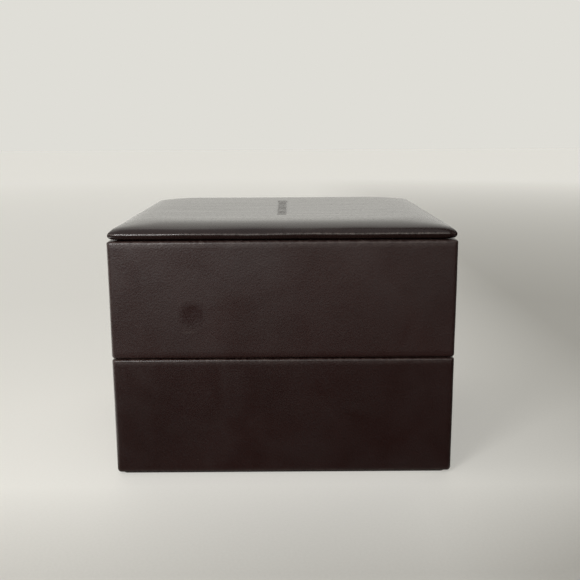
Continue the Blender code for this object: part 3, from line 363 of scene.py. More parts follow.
def new_piece(name, bm, look, body, replaced=None, matrix=None, angle=40):
    """Makes the object, shades it smooth with sharp corners, and seats it on its body."""
    bmesh.ops.recalc_face_normals(bm, faces=bm.faces[:])
    mesh = to_mesh(name, bm)
    mesh.materials.append(LOOKS[look])
    mesh.shade_smooth()
    mesh.set_sharp_from_angle(angle=math.radians(angle))
    obj = add_object(name, mesh)
    if matrix is not None:
        mesh.transform(matrix)
    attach(obj, body)
    if replaced:
        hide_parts(replaced)
    return obj


def bridge(bm, rings, closed=False, capped=False):
    """Faces between rings of as many vertices; closed joins the last ring to the first."""
    count = len(rings[0])
    for first, second in zip(rings, rings[1:] + (rings[:1] if closed else [])):
        for i in range(count):
            bm.faces.new((first[i], first[(i + 1) % count], second[(i + 1) % count], second[i]))
    if capped:
        bm.faces.new(rings[0])
        bm.faces.new(rings[-1])


def bevel(bm, edges, width, segments):
    shape = {"offset": width, "segments": segments, "profile": 0.5, "clamp_overlap": True}
    bmesh.ops.bevel(bm, geom=edges, affect="EDGES", **shape)


def tube(bm, spine, sides):
    """Adds a capped tube round a spine of (centre, half axis, other half axis) steps."""
    turns = [math.tau * i / sides for i in range(sides)]
    rings = [[bm.verts.new(c + u * math.cos(t) + v * math.sin(t)) for t in turns] for c, u, v in spine]
    bridge(bm, rings, capped=True)


def fillet(a, corner, b, radius, steps=4):
    """Points of a round corner between the lines corner-a and corner-b, in the profile's plane."""
    a, corner, b = Vector(a), Vector(corner), Vector(b)
    to_a, to_b = (a - corner).normalized(), (b - corner).normalized()
    half = to_a.angle(to_b) / 2
    reach = radius / math.tan(half)
    centre = corner + (to_a + to_b).normalized() * (radius / math.sin(half))
    first, last = corner + to_a * reach - centre, corner + to_b * reach - centre
    turn = first.angle_signed(last)
    return [tuple(centre + Matrix.Rotation(-turn * i / steps, 2) @ first) for i in range(steps + 1)]


def between(low, high, step):
    """Evenly spaced values from low to high, both left out, about step apart."""
    count = max(1, round(abs(high - low) / step))
    return [low + (high - low) * i / count for i in range(1, count)]


CORNER_SIGNS = ((1, 1), (-1, 1), (-1, -1), (1, -1))  # corners of a rectangle, turning left
SIDE_OUTWARDS = ((0, 1), (-1, 0), (0, -1), (1, 0))  # where the side after each corner faces


def ring(half_x, half_y, corner, step, arc=6):
    """Points round a rectangle with round corners, as (x, y, outward x, outward y, share of corner)."""
    points = []
    for quarter, (sx, sy) in enumerate(CORNER_SIGNS):
        for i in range(arc + 1):
            turn = math.pi / 2 * (quarter + i / arc)
            nx, ny = math.cos(turn), math.sin(turn)
            x, y = sx * (half_x - corner) + corner * nx, sy * (half_y - corner) + corner * ny
            points.append((x, y, nx, ny, 1 - abs(2 * i / arc - 1)))
        run = half_x if quarter % 2 == 0 else half_y
        nx, ny = SIDE_OUTWARDS[quarter]
        count = round(2 * run / step)
        reach = run - corner
        for i in range(1, count):
            along = -reach + 2 * reach * i / count
            points.append((nx * half_x - ny * along, ny * half_y + nx * along, nx, ny, 0.0))
    return points


def swept(name, loop, half_x, half_y, corner, step, relief, look, body, replaced):
    """A closed loop of (inset, z, wear) points carried round a rounded rectangle. The wear value paints
    the leather paler: partly wear, partly a painted highlight on the rounded edges.
    """
    bm = bmesh.new()
    worn = bm.verts.layers.float.new("wear")
    rings = []
    for inset, z, wear in loop:
        made = []
        around = ring(half_x - inset, half_y - inset, max(corner - inset, 0.0002), step)
        for x, y, nx, ny, at_corner in around:
            push, sink = relief(Vector((x, y, z)), inset, at_corner)
            vert = bm.verts.new((x + nx * push, y + ny * push, z + sink))
            # Paler still at the upright corners: wear and a painted highlight along the rounded upright
            # edges.
            vert[worn] = min(1.0, wear + 0.6 * at_corner * (inset < EDGE))
            made.append(vert)
        rings.append(made)
    bridge(bm, rings, closed=True)
    return new_piece(name, bm, look, body, replaced)


def turned(profile, sides, closed=False, capped=False, shape=None):
    """A turned shape about Z, from a profile of (radius, z) points. shape(radius, z, turn) gives the
    radius at that turn, for a piece that isn't quite round."""
    bm = bmesh.new()
    turns = [math.tau * i / sides for i in range(sides)]
    rings = []
    for r, z in profile:
        reaches = [(shape(r, z, turn) if shape else r, turn) for turn in turns]
        rings.append([bm.verts.new((r * math.cos(t), r * math.sin(t), z)) for r, t in reaches])
    bridge(bm, rings, closed, capped)
    return bm


def lathe(name, profile, look, body, replaced, matrix, sides=72, closed=False, shape=None):
    """A turned piece; the ends of an open profile lie on its axis."""
    bm = turned(profile, sides, closed, shape=shape)
    bmesh.ops.remove_doubles(bm, verts=bm.verts[:], dist=1e-7)
    bmesh.ops.dissolve_degenerate(bm, edges=bm.edges[:], dist=1e-7)
    return new_piece(name, bm, look, body, replaced, matrix)


# ---------------------------------------------------------------- the two leather shells
WALL_STEP, HIDDEN_STEP = 0.0025, 0.004  # between the points of the wraps' section
CORNER_CREASE, DENT_LIP = 0.00022, 0.00006


def shell_relief(point, inset, at_corner):
    """How far the leather stands out, and up: slightly uneven, creased at the corners."""
    push = 0.00013 * noise.noise(point * 26) + 0.00007 * noise.noise(point * 75 + Vector((5, 1, 3)))
    sink = 0.0
    away = (point - DENT_PLACE).length
    if away < 2 * DENT_RADIUS:
        dish = max(0.0, 1 - (away / DENT_RADIUS) ** 2) ** 0.7
        lip = math.exp(-(((away - DENT_RADIUS) / 0.0014) ** 2))
        push += DENT_LIP * lip - DENT_DEPTH * dish
    if at_corner > 0.9 and EDGE < inset < RIM_WIDTH:
        into_lid = point.z > 0.1 or point.z < 0.01 or abs(point.z - RIM_LID) < 0.002
        sink = CORNER_CREASE if into_lid else -CORNER_CREASE
    return (push if inset < 0.003 else 0.0), sink


def shell_loop(rim, end, turn_in, end_radius, rim_radius, rim_wear_and_highlight):
    """The leather's section: out from under the closed end, up the wall, over the rim and down
    inside. Up and down swap for the lid, whose closed end is above its rim."""
    up = 1 if rim > end else -1
    outer = [(TURN_OVER, end)] + [(d, end) for d in between(TURN_OVER, end_radius, HIDDEN_STEP)]
    outer += fillet((TURN_OVER, end), (0, end), (0, rim), end_radius, 6)
    outer += [(0.0, z) for z in between(end + up * end_radius, rim - up * rim_radius, WALL_STEP)]
    outer += fillet((0, end), (0, rim), (RIM_WIDTH, rim), rim_radius)
    outer += [(d, rim) for d in between(rim_radius, RIM_WIDTH - rim_radius, WALL_STEP)]
    outer += fillet((0, rim), (RIM_WIDTH, rim), (RIM_WIDTH, turn_in), rim_radius)
    outer += [(RIM_WIDTH, z) for z in between(rim - up * rim_radius, turn_in, HIDDEN_STEP)]
    outer += [(RIM_WIDTH, turn_in)]
    inner_rim, inner_end = rim - up * LEATHER, end + up * LEATHER
    inside = [(RIM_WIDTH - LEATHER, turn_in), (RIM_WIDTH - LEATHER, inner_rim)]
    inside += [(LEATHER, inner_rim), (LEATHER, inner_end), (TURN_OVER, inner_end)]
    # How pale each point is painted near the rounded end and the rim: partly wear, partly a painted
    # highlight.
    worn = []
    for d, z in outer:
        near_end = max(0.0, 1 - abs(z - end) / 0.0020) * (d < end_radius * 1.5)
        near_rim = rim_wear_and_highlight * max(0.0, 1 - abs(z - rim) / 0.0014) * (d < rim_radius * 1.5)
        worn.append((d, z, max(near_end, near_rim)))
    return worn + [(d, z, 0.0) for d, z in inside]


SHELLS = {  # body: (rim, closed end, end of the turn-in, end's radius, rim's radius, rim's wear and painted highlight)
    "base": (RIM_BASE, BASE_BOTTOM - SAG, DECK_TOP + GAP, EDGE, RIM_EDGE, 1.0),
    "lid": (RIM_LID, BODY_TOP, TURN_IN_LID, TOP_EDGE, LID_RIM_EDGE, 0.3),
}
for body_name, look_name in (("base", "case_leather"), ("lid", "lid_leather")):
    section = shell_loop(*SHELLS[body_name])
    replaced = f"{body_name}_leather"
    shape = (section, HALF_X, HALF_Y, EDGE, WALL_STEP, shell_relief)
    swept(f"{body_name}_wrap", *shape, look_name, body_name, replaced)


# ---------------------------------------------------------------- padded panels
def panel_corner(half_x, half_y, inset, reach, corner, parts):
    """One corner of a ring at that inset, from (half_x - inset, half_y - reach) round to
    (half_x - reach, half_y - inset), as points with their outward directions."""
    radius = min(corner, reach - inset)
    run = reach - inset - radius
    arc = math.pi / 2 * radius
    total = 2 * run + arc
    points = []
    for i in range(parts + 1):
        s = total * i / parts
        if s <= run:
            x, y, turn = half_x - inset, half_y - reach + s, 0.0
        elif s < run + arc:
            turn = (s - run) / max(radius, 1e-9)
            x = half_x - inset - radius + radius * math.cos(turn)
            y = half_y - inset - radius + radius * math.sin(turn)
        else:
            x, y, turn = half_x - inset - radius - (s - run - arc), half_y - inset, math.pi / 2
        points.append((x, y, math.cos(turn), math.sin(turn)))
    return points


def panel_ring(xs, ys, half_x, half_y, inset, reach, corner, parts):
    """Points round a panel: the runs keep the stations xs and ys of its flat middle."""
    points = []
    ends = panel_corner(half_x, half_y, inset, reach, corner, parts)
    for quarter, (sx, sy) in enumerate(CORNER_SIGNS):
        here = [(sx * x, sy * y, sx * nx, sy * ny) for x, y, nx, ny in ends]
        if sx * sy < 0:
            here.reverse()
        points += here
        run = xs if quarter % 2 == 0 else ys
        nx, ny = SIDE_OUTWARDS[quarter]
        for along in reversed(run[1:-1]) if quarter in (0, 1) else run[1:-1]:
            x = along if nx == 0 else nx * (half_x - inset)
            y = along if ny == 0 else ny * (half_y - inset)
            points.append((x, y, nx, ny))
    return points


def padded_panel(name, xs, ys, profile, wears, half, corner, relief, look, replaced, low, matrix):
    """A stuffed panel of the lid, with a flat underside at low. profile gives (inset, height) in mm
    from the bottom of its edge up to where its middle begins, and the wear table how pale it is painted
    at a height, partly for wear and partly as a painted highlight on the fold;
    relief(x, y, inset, outward y) gives how far a point moves outwards and up."""
    reach, crown = (value / 1000 for value in profile[-1])
    bm = bmesh.new()
    worn = bm.verts.layers.float.new("wear")
    rings = []
    for inset_mm, height_mm in profile[:-1]:
        inset, height = inset_mm / 1000, height_mm / 1000
        made = []
        radius = corner + CORNER_OPENS[0] * inset + CORNER_OPENS[1] * inset**2
        for x, y, nx, ny in panel_ring(xs, ys, *half, inset, reach, radius, PANEL_CORNER_PARTS):
            push, rise = relief(x, y, inset, ny)
            vert = bm.verts.new((x + nx * push, y + ny * push, low + height + rise))
            # Paleness by height: wear and a painted highlight along the fold.
            vert[worn] = wears.get(height_mm, 0.0)
            made.append(vert)
        rings.append(made)
    top = low + crown
    middle = [[bm.verts.new((x, y, top + relief(x, y, reach, 0.0)[1])) for x in xs] for y in ys]
    corners = (middle[-1][-1], middle[-1][0], middle[0][0], middle[0][-1])
    left, right = [row[0] for row in middle], [row[-1] for row in middle]
    runs = (middle[-1][-2:0:-1], left[-2:0:-1], middle[0][1:-1], right[1:-1])
    edge = []  # the middle's border, in the rings' order
    for vert, run in zip(corners, runs):
        edge += [vert] * (PANEL_CORNER_PARTS + 1) + run
    bridge(bm, rings)
    for i, vert in enumerate(edge):
        after = (i + 1) % len(edge)
        bm.faces.new(list(dict.fromkeys((rings[-1][i], rings[-1][after], edge[after], vert))))
    for row, above in zip(middle, middle[1:]):
        for i in range(len(xs) - 1):
            bm.faces.new((row[i], row[i + 1], above[i + 1], above[i]))
    bm.faces.new(rings[0])
    return new_piece(name, bm, look, "lid", replaced, matrix, angle=75)


PANEL_CORNER_PARTS = 14
CORNER_OPENS = (0.55, 130)  # how a panel's corners grow rounder inwards, by inset and by its square
TRACK_HALF_LENGTH, TRACK_HALF_WIDTH, TRACK_SIDE = 0.040, 0.0032, 0.0003
TRACK_LINE, TRACK_DEPTH, TICK_STEP = 0.0009, 0.00040, 0.0080
LINE_STATIONS = [TRACK_LINE * share for share in (-0.62, -0.4, 0.4, 0.62)]  # a line's flanks


def track_depth(x, y):
    """The blind-tooled minute track along the middle of the lid: two rails with ticks between them."""
    y -= TRACK_SIDE
    if abs(x) > TRACK_HALF_LENGTH + TRACK_LINE or abs(y) > TRACK_HALF_WIDTH + TRACK_LINE:
        return 0.0
    on_rail = abs(abs(y) - TRACK_HALF_WIDTH + TRACK_LINE / 2) < TRACK_LINE * 0.51
    off_tick = abs((x + TICK_STEP / 2) % TICK_STEP - TICK_STEP / 2)
    on_tick = off_tick < TRACK_LINE * 0.51 and abs(y) < TRACK_HALF_WIDTH
    return TRACK_DEPTH if on_rail or on_tick else 0.0


def stations(half, step, fine):
    """Coordinates from -half to half, about step apart, with the fine ones among them."""
    found = sorted({round(v, 6) for v in fine})
    low, high = (found[0], found[-1]) if found else (0.0, 0.0)
    return [-half, *between(-half, low, step), *found, *between(high, half, step), half]


ticks = [i * TICK_STEP for i in range(-5, 6)]
tick_lines = [t + d for t in ticks for d in LINE_STATIONS] + [t + TICK_STEP / 2 for t in ticks[:-1]]
rail = TRACK_HALF_WIDTH - TRACK_LINE / 2
rail_lines = [TRACK_SIDE + side * (rail + d) for side in (-1, 1) for d in LINE_STATIONS]
rail_lines += [-0.0008, 0.0, 0.0008]

PAD_INSET = 0.0005
PAD_X, PAD_Y = HALF_X - PAD_INSET, HALF_Y - PAD_INSET
PAD_REACH, PAD_STEP = 0.031, 0.0028
PAD_WEAR_AND_HIGHLIGHT = {2.7: 0.1, 3.2: 0.8, 3.5: 1, 3.8: 0.25}  # paleness at these heights of the fold: partly wear, partly a painted highlight along it
PAD_PROFILE = [  # (inset, height) in mm, from the tucked-in bottom over the fold to the crown
    (6.0, 0.0), (3.6, 0.2), (2.2, 0.4), (1.3, 0.7), (0.8, 1.0),
    (0.4, 1.5), (0.1, 2.1), (0.0, 2.7), (0.0, 3.2), (0.1, 3.5),
    (0.3, 3.8), (0.6, 4.2), (1.1, 4.7), (2.0, 5.5), (3.4, 6.2),
    (5.6, 6.95), (9.0, 7.85), (13.0, 8.5), (17.0, 8.8), (21.0, 9.0),
    (25.5, 9.1),
    (1000 * PAD_REACH, 1000 * (PAD_TOP - PAD_LOW) + 0.4),
]
PAD_SHIFT = Matrix.Translation((0, 0.0002, 0))  # the panel sits a little off centre
SINK = 0.0007  # how far the middle of the lid has sunk


def pad_relief(x, y, inset, out_y):
    """Fine puckers along the fold, a slack swell of the edge, and the sunken middle."""
    place = Vector((x, y, 0))
    edge = math.exp(-((inset / 0.0022) ** 2))
    pucker = noise.noise(place * 240 + Vector((3, 7, 1))) * 0.00013 + noise.noise(place * 560) * 0.00009
    swell = noise.noise(place * 34 + Vector((9, 2, 4))) * 0.00030
    middle = max(0.0, 1 - (x / 0.075) ** 2) * max(0.0, 1 - (y / 0.080) ** 2)
    rise = (swell * 0.7 + pucker) * edge - SINK * middle
    if inset >= PAD_REACH:
        rise -= track_depth(x, y)
    roll = 0.0005 * max(0.0, -out_y) - 0.0001
    return (swell + 1.3 * pucker + roll) * edge, rise


pad_x = stations(PAD_X - PAD_REACH, PAD_STEP, tick_lines)
pad_y = stations(PAD_Y - PAD_REACH, PAD_STEP, rail_lines)
pad_shape = (pad_x, pad_y, PAD_PROFILE, PAD_WEAR_AND_HIGHLIGHT, (PAD_X, PAD_Y), 0.0011, pad_relief)
lid_pad = padded_panel("lid_pad_cover", *pad_shape, "pad_leather", "pad_leather", PAD_LOW, PAD_SHIFT)

# ---------------------------------------------------------------- the padded ceiling
CEILING_LOW, CEILING_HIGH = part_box("lid_ceiling_pad")
CEILING_REACH, CEILING_STEP = 0.015, 0.006
CEILING_PROFILE = [  # as PAD_PROFILE
    (0.8, 0.0), (0.2, 0.2), (0.0, 0.6), (0.1, 1.0), (0.6, 1.6),
    (1.6, 2.1), (3.2, 2.5), (6.0, 2.8), (10.0, 3.0),
    (1000 * CEILING_REACH, 1000 * (CEILING_HIGH.z - CEILING_LOW.z)),
]
CEILING_FLIP = Matrix.Translation((0, 0, CEILING_HIGH.z)) @ Matrix.Rotation(math.pi, 4, "X")


def ceiling_relief(x, y, inset, _):
    """A faint quilted swell; the cloth is drawn in a little along the edge."""
    swell = noise.noise(Vector((x * 30, y * 30, 2))) * 0.00025
    edge = math.exp(-((inset / 0.0030) ** 2))
    pucker = noise.noise(Vector((x * 180, y * 180, 7))) * 0.00012 * edge
    return pucker - 0.0002 * edge, (swell - 0.00025) * (1 - edge) + pucker


ceiling_x, ceiling_y = (stations(half - CEILING_REACH, CEILING_STEP, ()) for half in CEILING_HIGH.xy)
ceiling_shape = (ceiling_x, ceiling_y, CEILING_PROFILE, {}, CEILING_HIGH.xy, 0.0030, ceiling_relief)
ceiling = padded_panel(
    "ceiling_pad_cover", *ceiling_shape, "lining", "lid_ceiling_pad", 0.0, CEILING_FLIP
)


# ---------------------------------------------------------------- fitted and turned pieces
def refined(name, node, look, width, sharp=35, segments=3):
    """The CAD node's own shape with its flats made whole and its sharp edges rounded."""
    bm = from_mesh(NODES[node].data)
    bmesh.ops.remove_doubles(bm, verts=bm.verts[:], dist=1e-6)
    bmesh.ops.dissolve_limit(bm, angle_limit=math.radians(1), verts=bm.verts[:], edges=bm.edges[:])
    least = math.radians(sharp)
    edges = [e for e in bm.edges if len(e.link_faces) == 2 and e.calc_face_angle() > least]
    bevel(bm, edges, width, segments)
    bmesh.ops.triangulate(bm, faces=[f for f in bm.faces if len(f.verts) > 4])
    return new_piece(name, bm, look, NODES[node]["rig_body"], node)


def softened(profile, radius, closed=True, steps=4):
    """The profile with each of its corners made round."""
    points = []
    count = len(profile)
    for i, here in enumerate(profile):
        before, after = Vector(profile[i - 1]), Vector(profile[(i + 1) % count])
        if not closed and i in (0, count - 1):
            points.append(here)
            continue
        here = Vector(here)
        half = (before - here).angle(after - here) / 2
        reach = 0.45 * min((before - here).length, (after - here).length)
        points += fillet(before, here, after, min(radius, reach * math.tan(half)), steps)
    return points


REFINED = (  # (piece, node, look, how far its edges are rounded)
    ("turret_cover", "turret_shell", "suede", 0.0007),
    ("deck_cover", "deck_panel", "suede", 0.0006),
    ("lid_lining_cloth", "lid_lining", "lining", 0.0006),
    ("collar_cover", "cup_collar", "suede", 0.0012),
    ("base_felt_pad", "base_felt", "felt", 0.0003),
)
for row in REFINED:
    refined(*row)
for side in ("left", "right"):
    for kind in ("base", "lid"):
        leaf = f"hinge_{kind}_leaf_{side}"
        refined(f"hinge_{kind}_plate_{side}", leaf, "brass", 0.00012, segments=2)
refined("power_switch_body", "power_switch", "black_plastic", 0.0003, sharp=50, segments=2)

BEZEL_BORE, BEZEL_FOOT, BEZEL_TOP = 0.0442, 0.0003, 0.0026
bezel = [(0.0476, BEZEL_TOP), (0.0488, BEZEL_FOOT), (BEZEL_BORE, BEZEL_FOOT)]
bezel += [(BEZEL_BORE, 0.0018), (0.0452, BEZEL_TOP)]
lathe("bezel", softened(bezel, 0.0005), "chrome", "base", "bezel_ring", TILTED, 144, True)
CUP = [
    (0.0430, 0.0012), (0.0430, -0.0380), (0.0410, -0.0400), (0.0085, -0.0400), (0.0080, -0.0427),
    (0.0043, -0.0427), (0.0043, -0.0375), (0.0390, -0.0375), (0.0405, -0.0360), (0.0405, 0.0012),
]
lathe("cup", softened(CUP, 0.0008), "black_plastic", "drum", "drum_cup", TILTED, 144, True)

KNOB_LOW, KNOB_HIGH = DECK_TOP + 0.0014, 0.0605
KNOB_RIBS, RIB_DEPTH = 40, 0.00028
KNOB_TOP = KNOB_HIGH - 0.0003  # its face, a little sunk
STRIP_X, STRIP_YS = 0.0655, (-0.030, -0.053, -0.008)  # where the controls are on the deck
SELECTOR_PLACE, BUTTON_PLACE, LED_PLACE = (Matrix.Translation((STRIP_X, y, 0)) for y in STRIP_YS)


def knurl(r, z, turn):
    """Straight knurling on the knob's flank."""
    if KNOB_LOW + 0.0012 < z < KNOB_HIGH - 0.0012 and r > 0.006:
        return r - RIB_DEPTH * (0.5 + 0.5 * math.cos(turn * KNOB_RIBS)) ** 1.5
    return r


knob = [(0, KNOB_TOP), (0.0052, KNOB_TOP), (0.0058, KNOB_HIGH)]
knob += [(0.0069, KNOB_HIGH), (0.0077, KNOB_HIGH - 0.0009)]
knob += [(0.0077, KNOB_HIGH - 0.0013), (0.0079, KNOB_HIGH - 0.00131), (0.0080, KNOB_LOW + 0.0014)]
knob += [(0.0079, KNOB_LOW + 0.0011), (0.0078, KNOB_LOW), (0.0020, KNOB_LOW)]
knob += [(0.0020, 0.0446), (0, 0.0446)]
lathe("knob", knob, "chrome", "selector", "selector_knob", SELECTOR_PLACE, KNOB_RIBS * 8, shape=knurl)
pointer = bmesh.new()
bmesh.ops.create_cube(pointer, size=1.0, matrix=Matrix.Diagonal((0.0007, 0.0040, 0.0002, 1)))
bevel(pointer, pointer.edges[:], 0.00006, 2)
pointer_place = SELECTOR_PLACE @ Matrix.Translation((0, 0.0030, KNOB_TOP + 0.00008))
new_piece("knob_pointer", pointer, "white_plastic", "selector", None, pointer_place)

BUTTON_TOP, BUTTON_LOW = 0.0538, 0.0430
button = [(0, BUTTON_TOP - 0.0004), (0.0018, BUTTON_TOP - 0.00032), (0.0030, BUTTON_TOP - 0.0001)]
button += [(0.0036, BUTTON_TOP), (0.0040, BUTTON_TOP - 0.0003), (0.0042, BUTTON_TOP - 0.0009)]
button += [(0.0042, BUTTON_LOW), (0, BUTTON_LOW)]
lathe("power_cap", button, "chrome", "button", "power_button", BUTTON_PLACE)

LENS_RADIUS, LENS_SHOULDER, LENS_RISE = 0.0022, 0.0502, 0.0016
leans = [i * math.pi / 16 for i in range(9)]
lens = [(LENS_RADIUS * math.sin(t), LENS_SHOULDER + LENS_RISE * math.cos(t)) for t in leans]
lens += [(LENS_RADIUS, 0.0468), (0.0030, 0.0468), (0.0030, 0.0450), (0, 0.0450)]
lathe("indicator_lens", lens, "led", "base", "indicator_led", LED_PLACE, 48)

JACK_PLACE = Matrix.Translation((0.060, HALF_Y, 0.024)) @ Matrix.Rotation(-math.pi / 2, 4, "X")
jack = [(0, -0.0100), (0.0029, -0.0100), (0.0029, 0.0012), (0.0052, 0.0012), (0.0058, 0.0006)]
jack += [(0.0058, GAP), (0.0040, GAP), (0.0040, -0.0150), (0, -0.0150)]
jack_profile = softened(jack, 0.0003, closed=False)
lathe("jack_body", jack_profile, "black_plastic", "base", "dc_jack", JACK_PLACE, 64)
pin = [(0, -0.0015), (0.0006, -0.0015), (0.0010, -0.0019), (0.0010, -0.0101), (0, -0.0101)]
lathe("jack_pin", pin, "chrome", "base", None, JACK_PLACE, 32)


# ---------------------------------------------------------------- screws of the hinges
def evaluated(obj):
    """The object's mesh with its modifiers applied; the object itself is removed."""
    graph = bpy.context.evaluated_depsgraph_get()
    mesh = bpy.data.meshes.new_from_object(obj.evaluated_get(graph))
    bpy.data.objects.remove(obj)
    return mesh


def cut_away(mesh, tools):
    """The mesh less the tools, which are bmeshes of closed shapes."""
    solid = add_object("solid", mesh)
    cutters = []
    for tool in tools:
        cutters.append(add_object("cutter", to_mesh("cutter", tool)))
        modifier = solid.modifiers.new("cut", "BOOLEAN")
        modifier.object, modifier.operation, modifier.solver = cutters[-1], "DIFFERENCE", "EXACT"
    bpy.context.view_layer.update()
    result = evaluated(solid)
    for cutter in cutters:
        bpy.data.objects.remove(cutter)
    return from_mesh(result)


def brick(low, high):
    """A closed box as a bmesh."""
    bm = bmesh.new()
    low, high = Vector(low), Vector(high)
    size = Matrix.Diagonal((*(high - low), 1))
    bmesh.ops.create_cube(bm, size=1.0, matrix=Matrix.Translation((low + high) / 2) @ size)
    return bm


def turned_mesh(profile, sides):
    """The mesh of a turned shape whose ends are flat, not yet a piece."""
    bm = turned(profile, sides, capped=True)
    bmesh.ops.recalc_face_normals(bm, faces=bm.faces[:])
    return to_mesh("turned", bm)


SCREW_Y, SCREW_X = 0.0858, 0.0095
SLOT_LONG, SLOT_HALF, SLOT_DEEP = 0.0009, 0.00014, 0.0006  # arms of the cross in a screw's head
screw_profile = [(0.0003, 0), (0.0014, 0), (0.00165, -0.0001), (0.0009, -0.0008)]
screw_profile += [(0.0009, -0.0085), (0.0004, -0.0095)]
for side, centre in (("left", -HINGE_X), ("right", HINGE_X)):
    for i, offset in enumerate((-SCREW_X, SCREW_X), 1):
        for kind, up in (("base", 1), ("lid", -1)):
            arms = [
                brick((-a, -b, -SLOT_DEEP), (a, b, 0.001))
                for a, b in ((SLOT_LONG, SLOT_HALF), (SLOT_HALF, SLOT_LONG))
            ]
            screw = cut_away(turned_mesh(screw_profile, 32), arms)
            face = HINGE_Z + up * (-GAP / 2 - 0.0001)
            turn = Matrix.Rotation(0.7 * i + 0.4 * up, 4, "Z")
            if up < 0:
                turn = Matrix.Rotation(math.pi, 4, "X") @ turn
            place = Matrix.Translation((centre + offset, SCREW_Y, face)) @ turn
            node = f"hinge_{kind}_screw_{side}_{i}"
            new_piece(f"screw_{kind}_{side}_{i}", screw, "brass", kind, node, place)

# ---------------------------------------------------------------- the stuffed cushion halves
CUSHION_X, CUSHION_Y, SPLIT = 0.031, 0.023, 0.0045
CUSHION_LOW, CUSHION_HIGH = -0.0356, 0.0090
CUSHION_MIDDLE = (CUSHION_LOW + CUSHION_HIGH) / 2
SWELL, PRESSURE, CLOTH_STEPS = 0.0014, 9.0, 20  # the stuffing pushes the cover out by up to SWELL
VOXEL, CUSHION_ROUND = 0.0022, 0.0085
SEAM_X, SEAM_DEPTH, STITCH_X = 0.0250, 0.0007, 0.0233
STITCH_PACE, STITCH_LENGTH, THREAD_RADIUS = 0.0026, 0.0019, 0.00019


def swollen(bm, room_low, room_high):
    """The closed shape remeshed evenly and blown up as cloth, kept inside its room."""
    obj = add_object("stuffing", to_mesh("stuffing", bm))
    remesh = obj.modifiers.new("remesh", "REMESH")
    remesh.mode, remesh.voxel_size = "VOXEL", VOXEL
    bpy.context.view_layer.update()
    obj = add_object("stuffing", evaluated(obj))
    before = [v.co.copy() for v in obj.data.vertices]
    after = before
    cloth = obj.modifiers.new("cloth", "CLOTH")
    cloth.settings.use_pressure = True
    cloth.settings.uniform_pressure_force = PRESSURE
    cloth.settings.effector_weights.gravity = 0
    cloth.point_cache.frame_start, cloth.point_cache.frame_end = 1, CLOTH_STEPS
    for step in range(1, CLOTH_STEPS + 1):
        bpy.context.scene.frame_set(step)
    graph = bpy.context.evaluated_depsgraph_get()
    after = [v.co.copy() for v in obj.evaluated_get(graph).data.vertices]
    bpy.context.scene.frame_set(1)
    moved = [b - a for a, b in zip(before, after)]
    share = SWELL / max(max(m.length for m in moved), SWELL)
    obj.modifiers.clear()
    for vert, start, move in zip(obj.data.vertices, before, moved):
        place = start + move * share
        vert.co = [min(max(p, a), b) for p, a, b in zip(place, room_low, room_high)]
    subdivide = obj.modifiers.new("subdivide", "SUBSURF")
    subdivide.levels = subdivide.render_levels = 2
    bpy.context.view_layer.update()
    return evaluated(obj)


def seamed(mesh):
    """Draws the cover in along the two sewn seams and gives it fine stretch puckers beside them."""
    normals = [vert.normal.copy() for vert in mesh.vertices]
    for vert, out in zip(mesh.vertices, normals):
        away = abs(abs(vert.co.x) - SEAM_X)
        depth = SEAM_DEPTH * math.exp(-((away / 0.0007) ** 2))
        crease = noise.noise(vert.co * 260) * 0.00022 * math.exp(-((away / 0.004) ** 2))
        swell = noise.noise(vert.co * 55) * 0.00015
        vert.co -= out * (depth + abs(crease) + abs(swell))


def stitches(name, mesh, side, body):
    """Two rows of thread laid on the cover beside its seams, from the split over the top and down."""
    tree = BVHTree.FromPolygons([v.co for v in mesh.vertices], [p.vertices for p in mesh.polygons])
    bm = bmesh.new()
    for x in (-STITCH_X, STITCH_X):
        corner = Vector((x, side * (CUSHION_Y - 0.0095), CUSHION_HIGH - 0.0095))
        rays = [(Vector((x, side * y, 0.03)), Vector((0, 0, -1))) for y in (0.006, 0.008, 0.010, 0.012)]
        for i in range(1, 12):
            turn = math.pi / 2 * i / 12
            out = Vector((0, side * math.sin(turn), math.cos(turn)))
            rays.append((corner + out * 0.03, -out))
        down = (-0.001, -0.004, -0.007, -0.010)
        rays += [(Vector((x, side * 0.05, z)), Vector((0, -side, 0))) for z in down]
        line = []
        for start, aim in rays:
            hit, normal = tree.ray_cast(start, aim)[:2]
            if hit:
                line.append((hit, normal))
        add_thread(bm, line)
    return new_piece(name, bm, "thread", body, None, TILTED)


def add_thread(bm, line):
    """Adds stitches of even length along a line of (point, normal)."""
    lengths = [0.0]
    for (a, _), (b, _) in zip(line, line[1:]):
        lengths.append(lengths[-1] + (b - a).length)

    def at(distance):
        for i in range(1, len(line)):
            if distance <= lengths[i] or i == len(line) - 1:
                share = (distance - lengths[i - 1]) / (lengths[i] - lengths[i - 1])
                point = line[i - 1][0].lerp(line[i][0], share)
                return point, line[i - 1][1].lerp(line[i][1], share).normalized()

    for k in range(int(lengths[-1] / STITCH_PACE)):
        start = k * STITCH_PACE + 0.0004
        ahead = (at(start + STITCH_LENGTH)[0] - at(start)[0]).normalized()
        spine = []
        for j in range(7):
            share = j / 6
            point, normal = at(start + STITCH_LENGTH * share)
            across = ahead.cross(normal).normalized()
            rise = 0.00022 * math.sin(math.pi * share) - 0.00010
            thick = THREAD_RADIUS * (0.35 + 0.65 * math.sin(math.pi * (0.08 + 0.84 * share)))
            spine.append((point + normal * rise, across * thick, normal * thick))
        tube(bm, spine, 8)


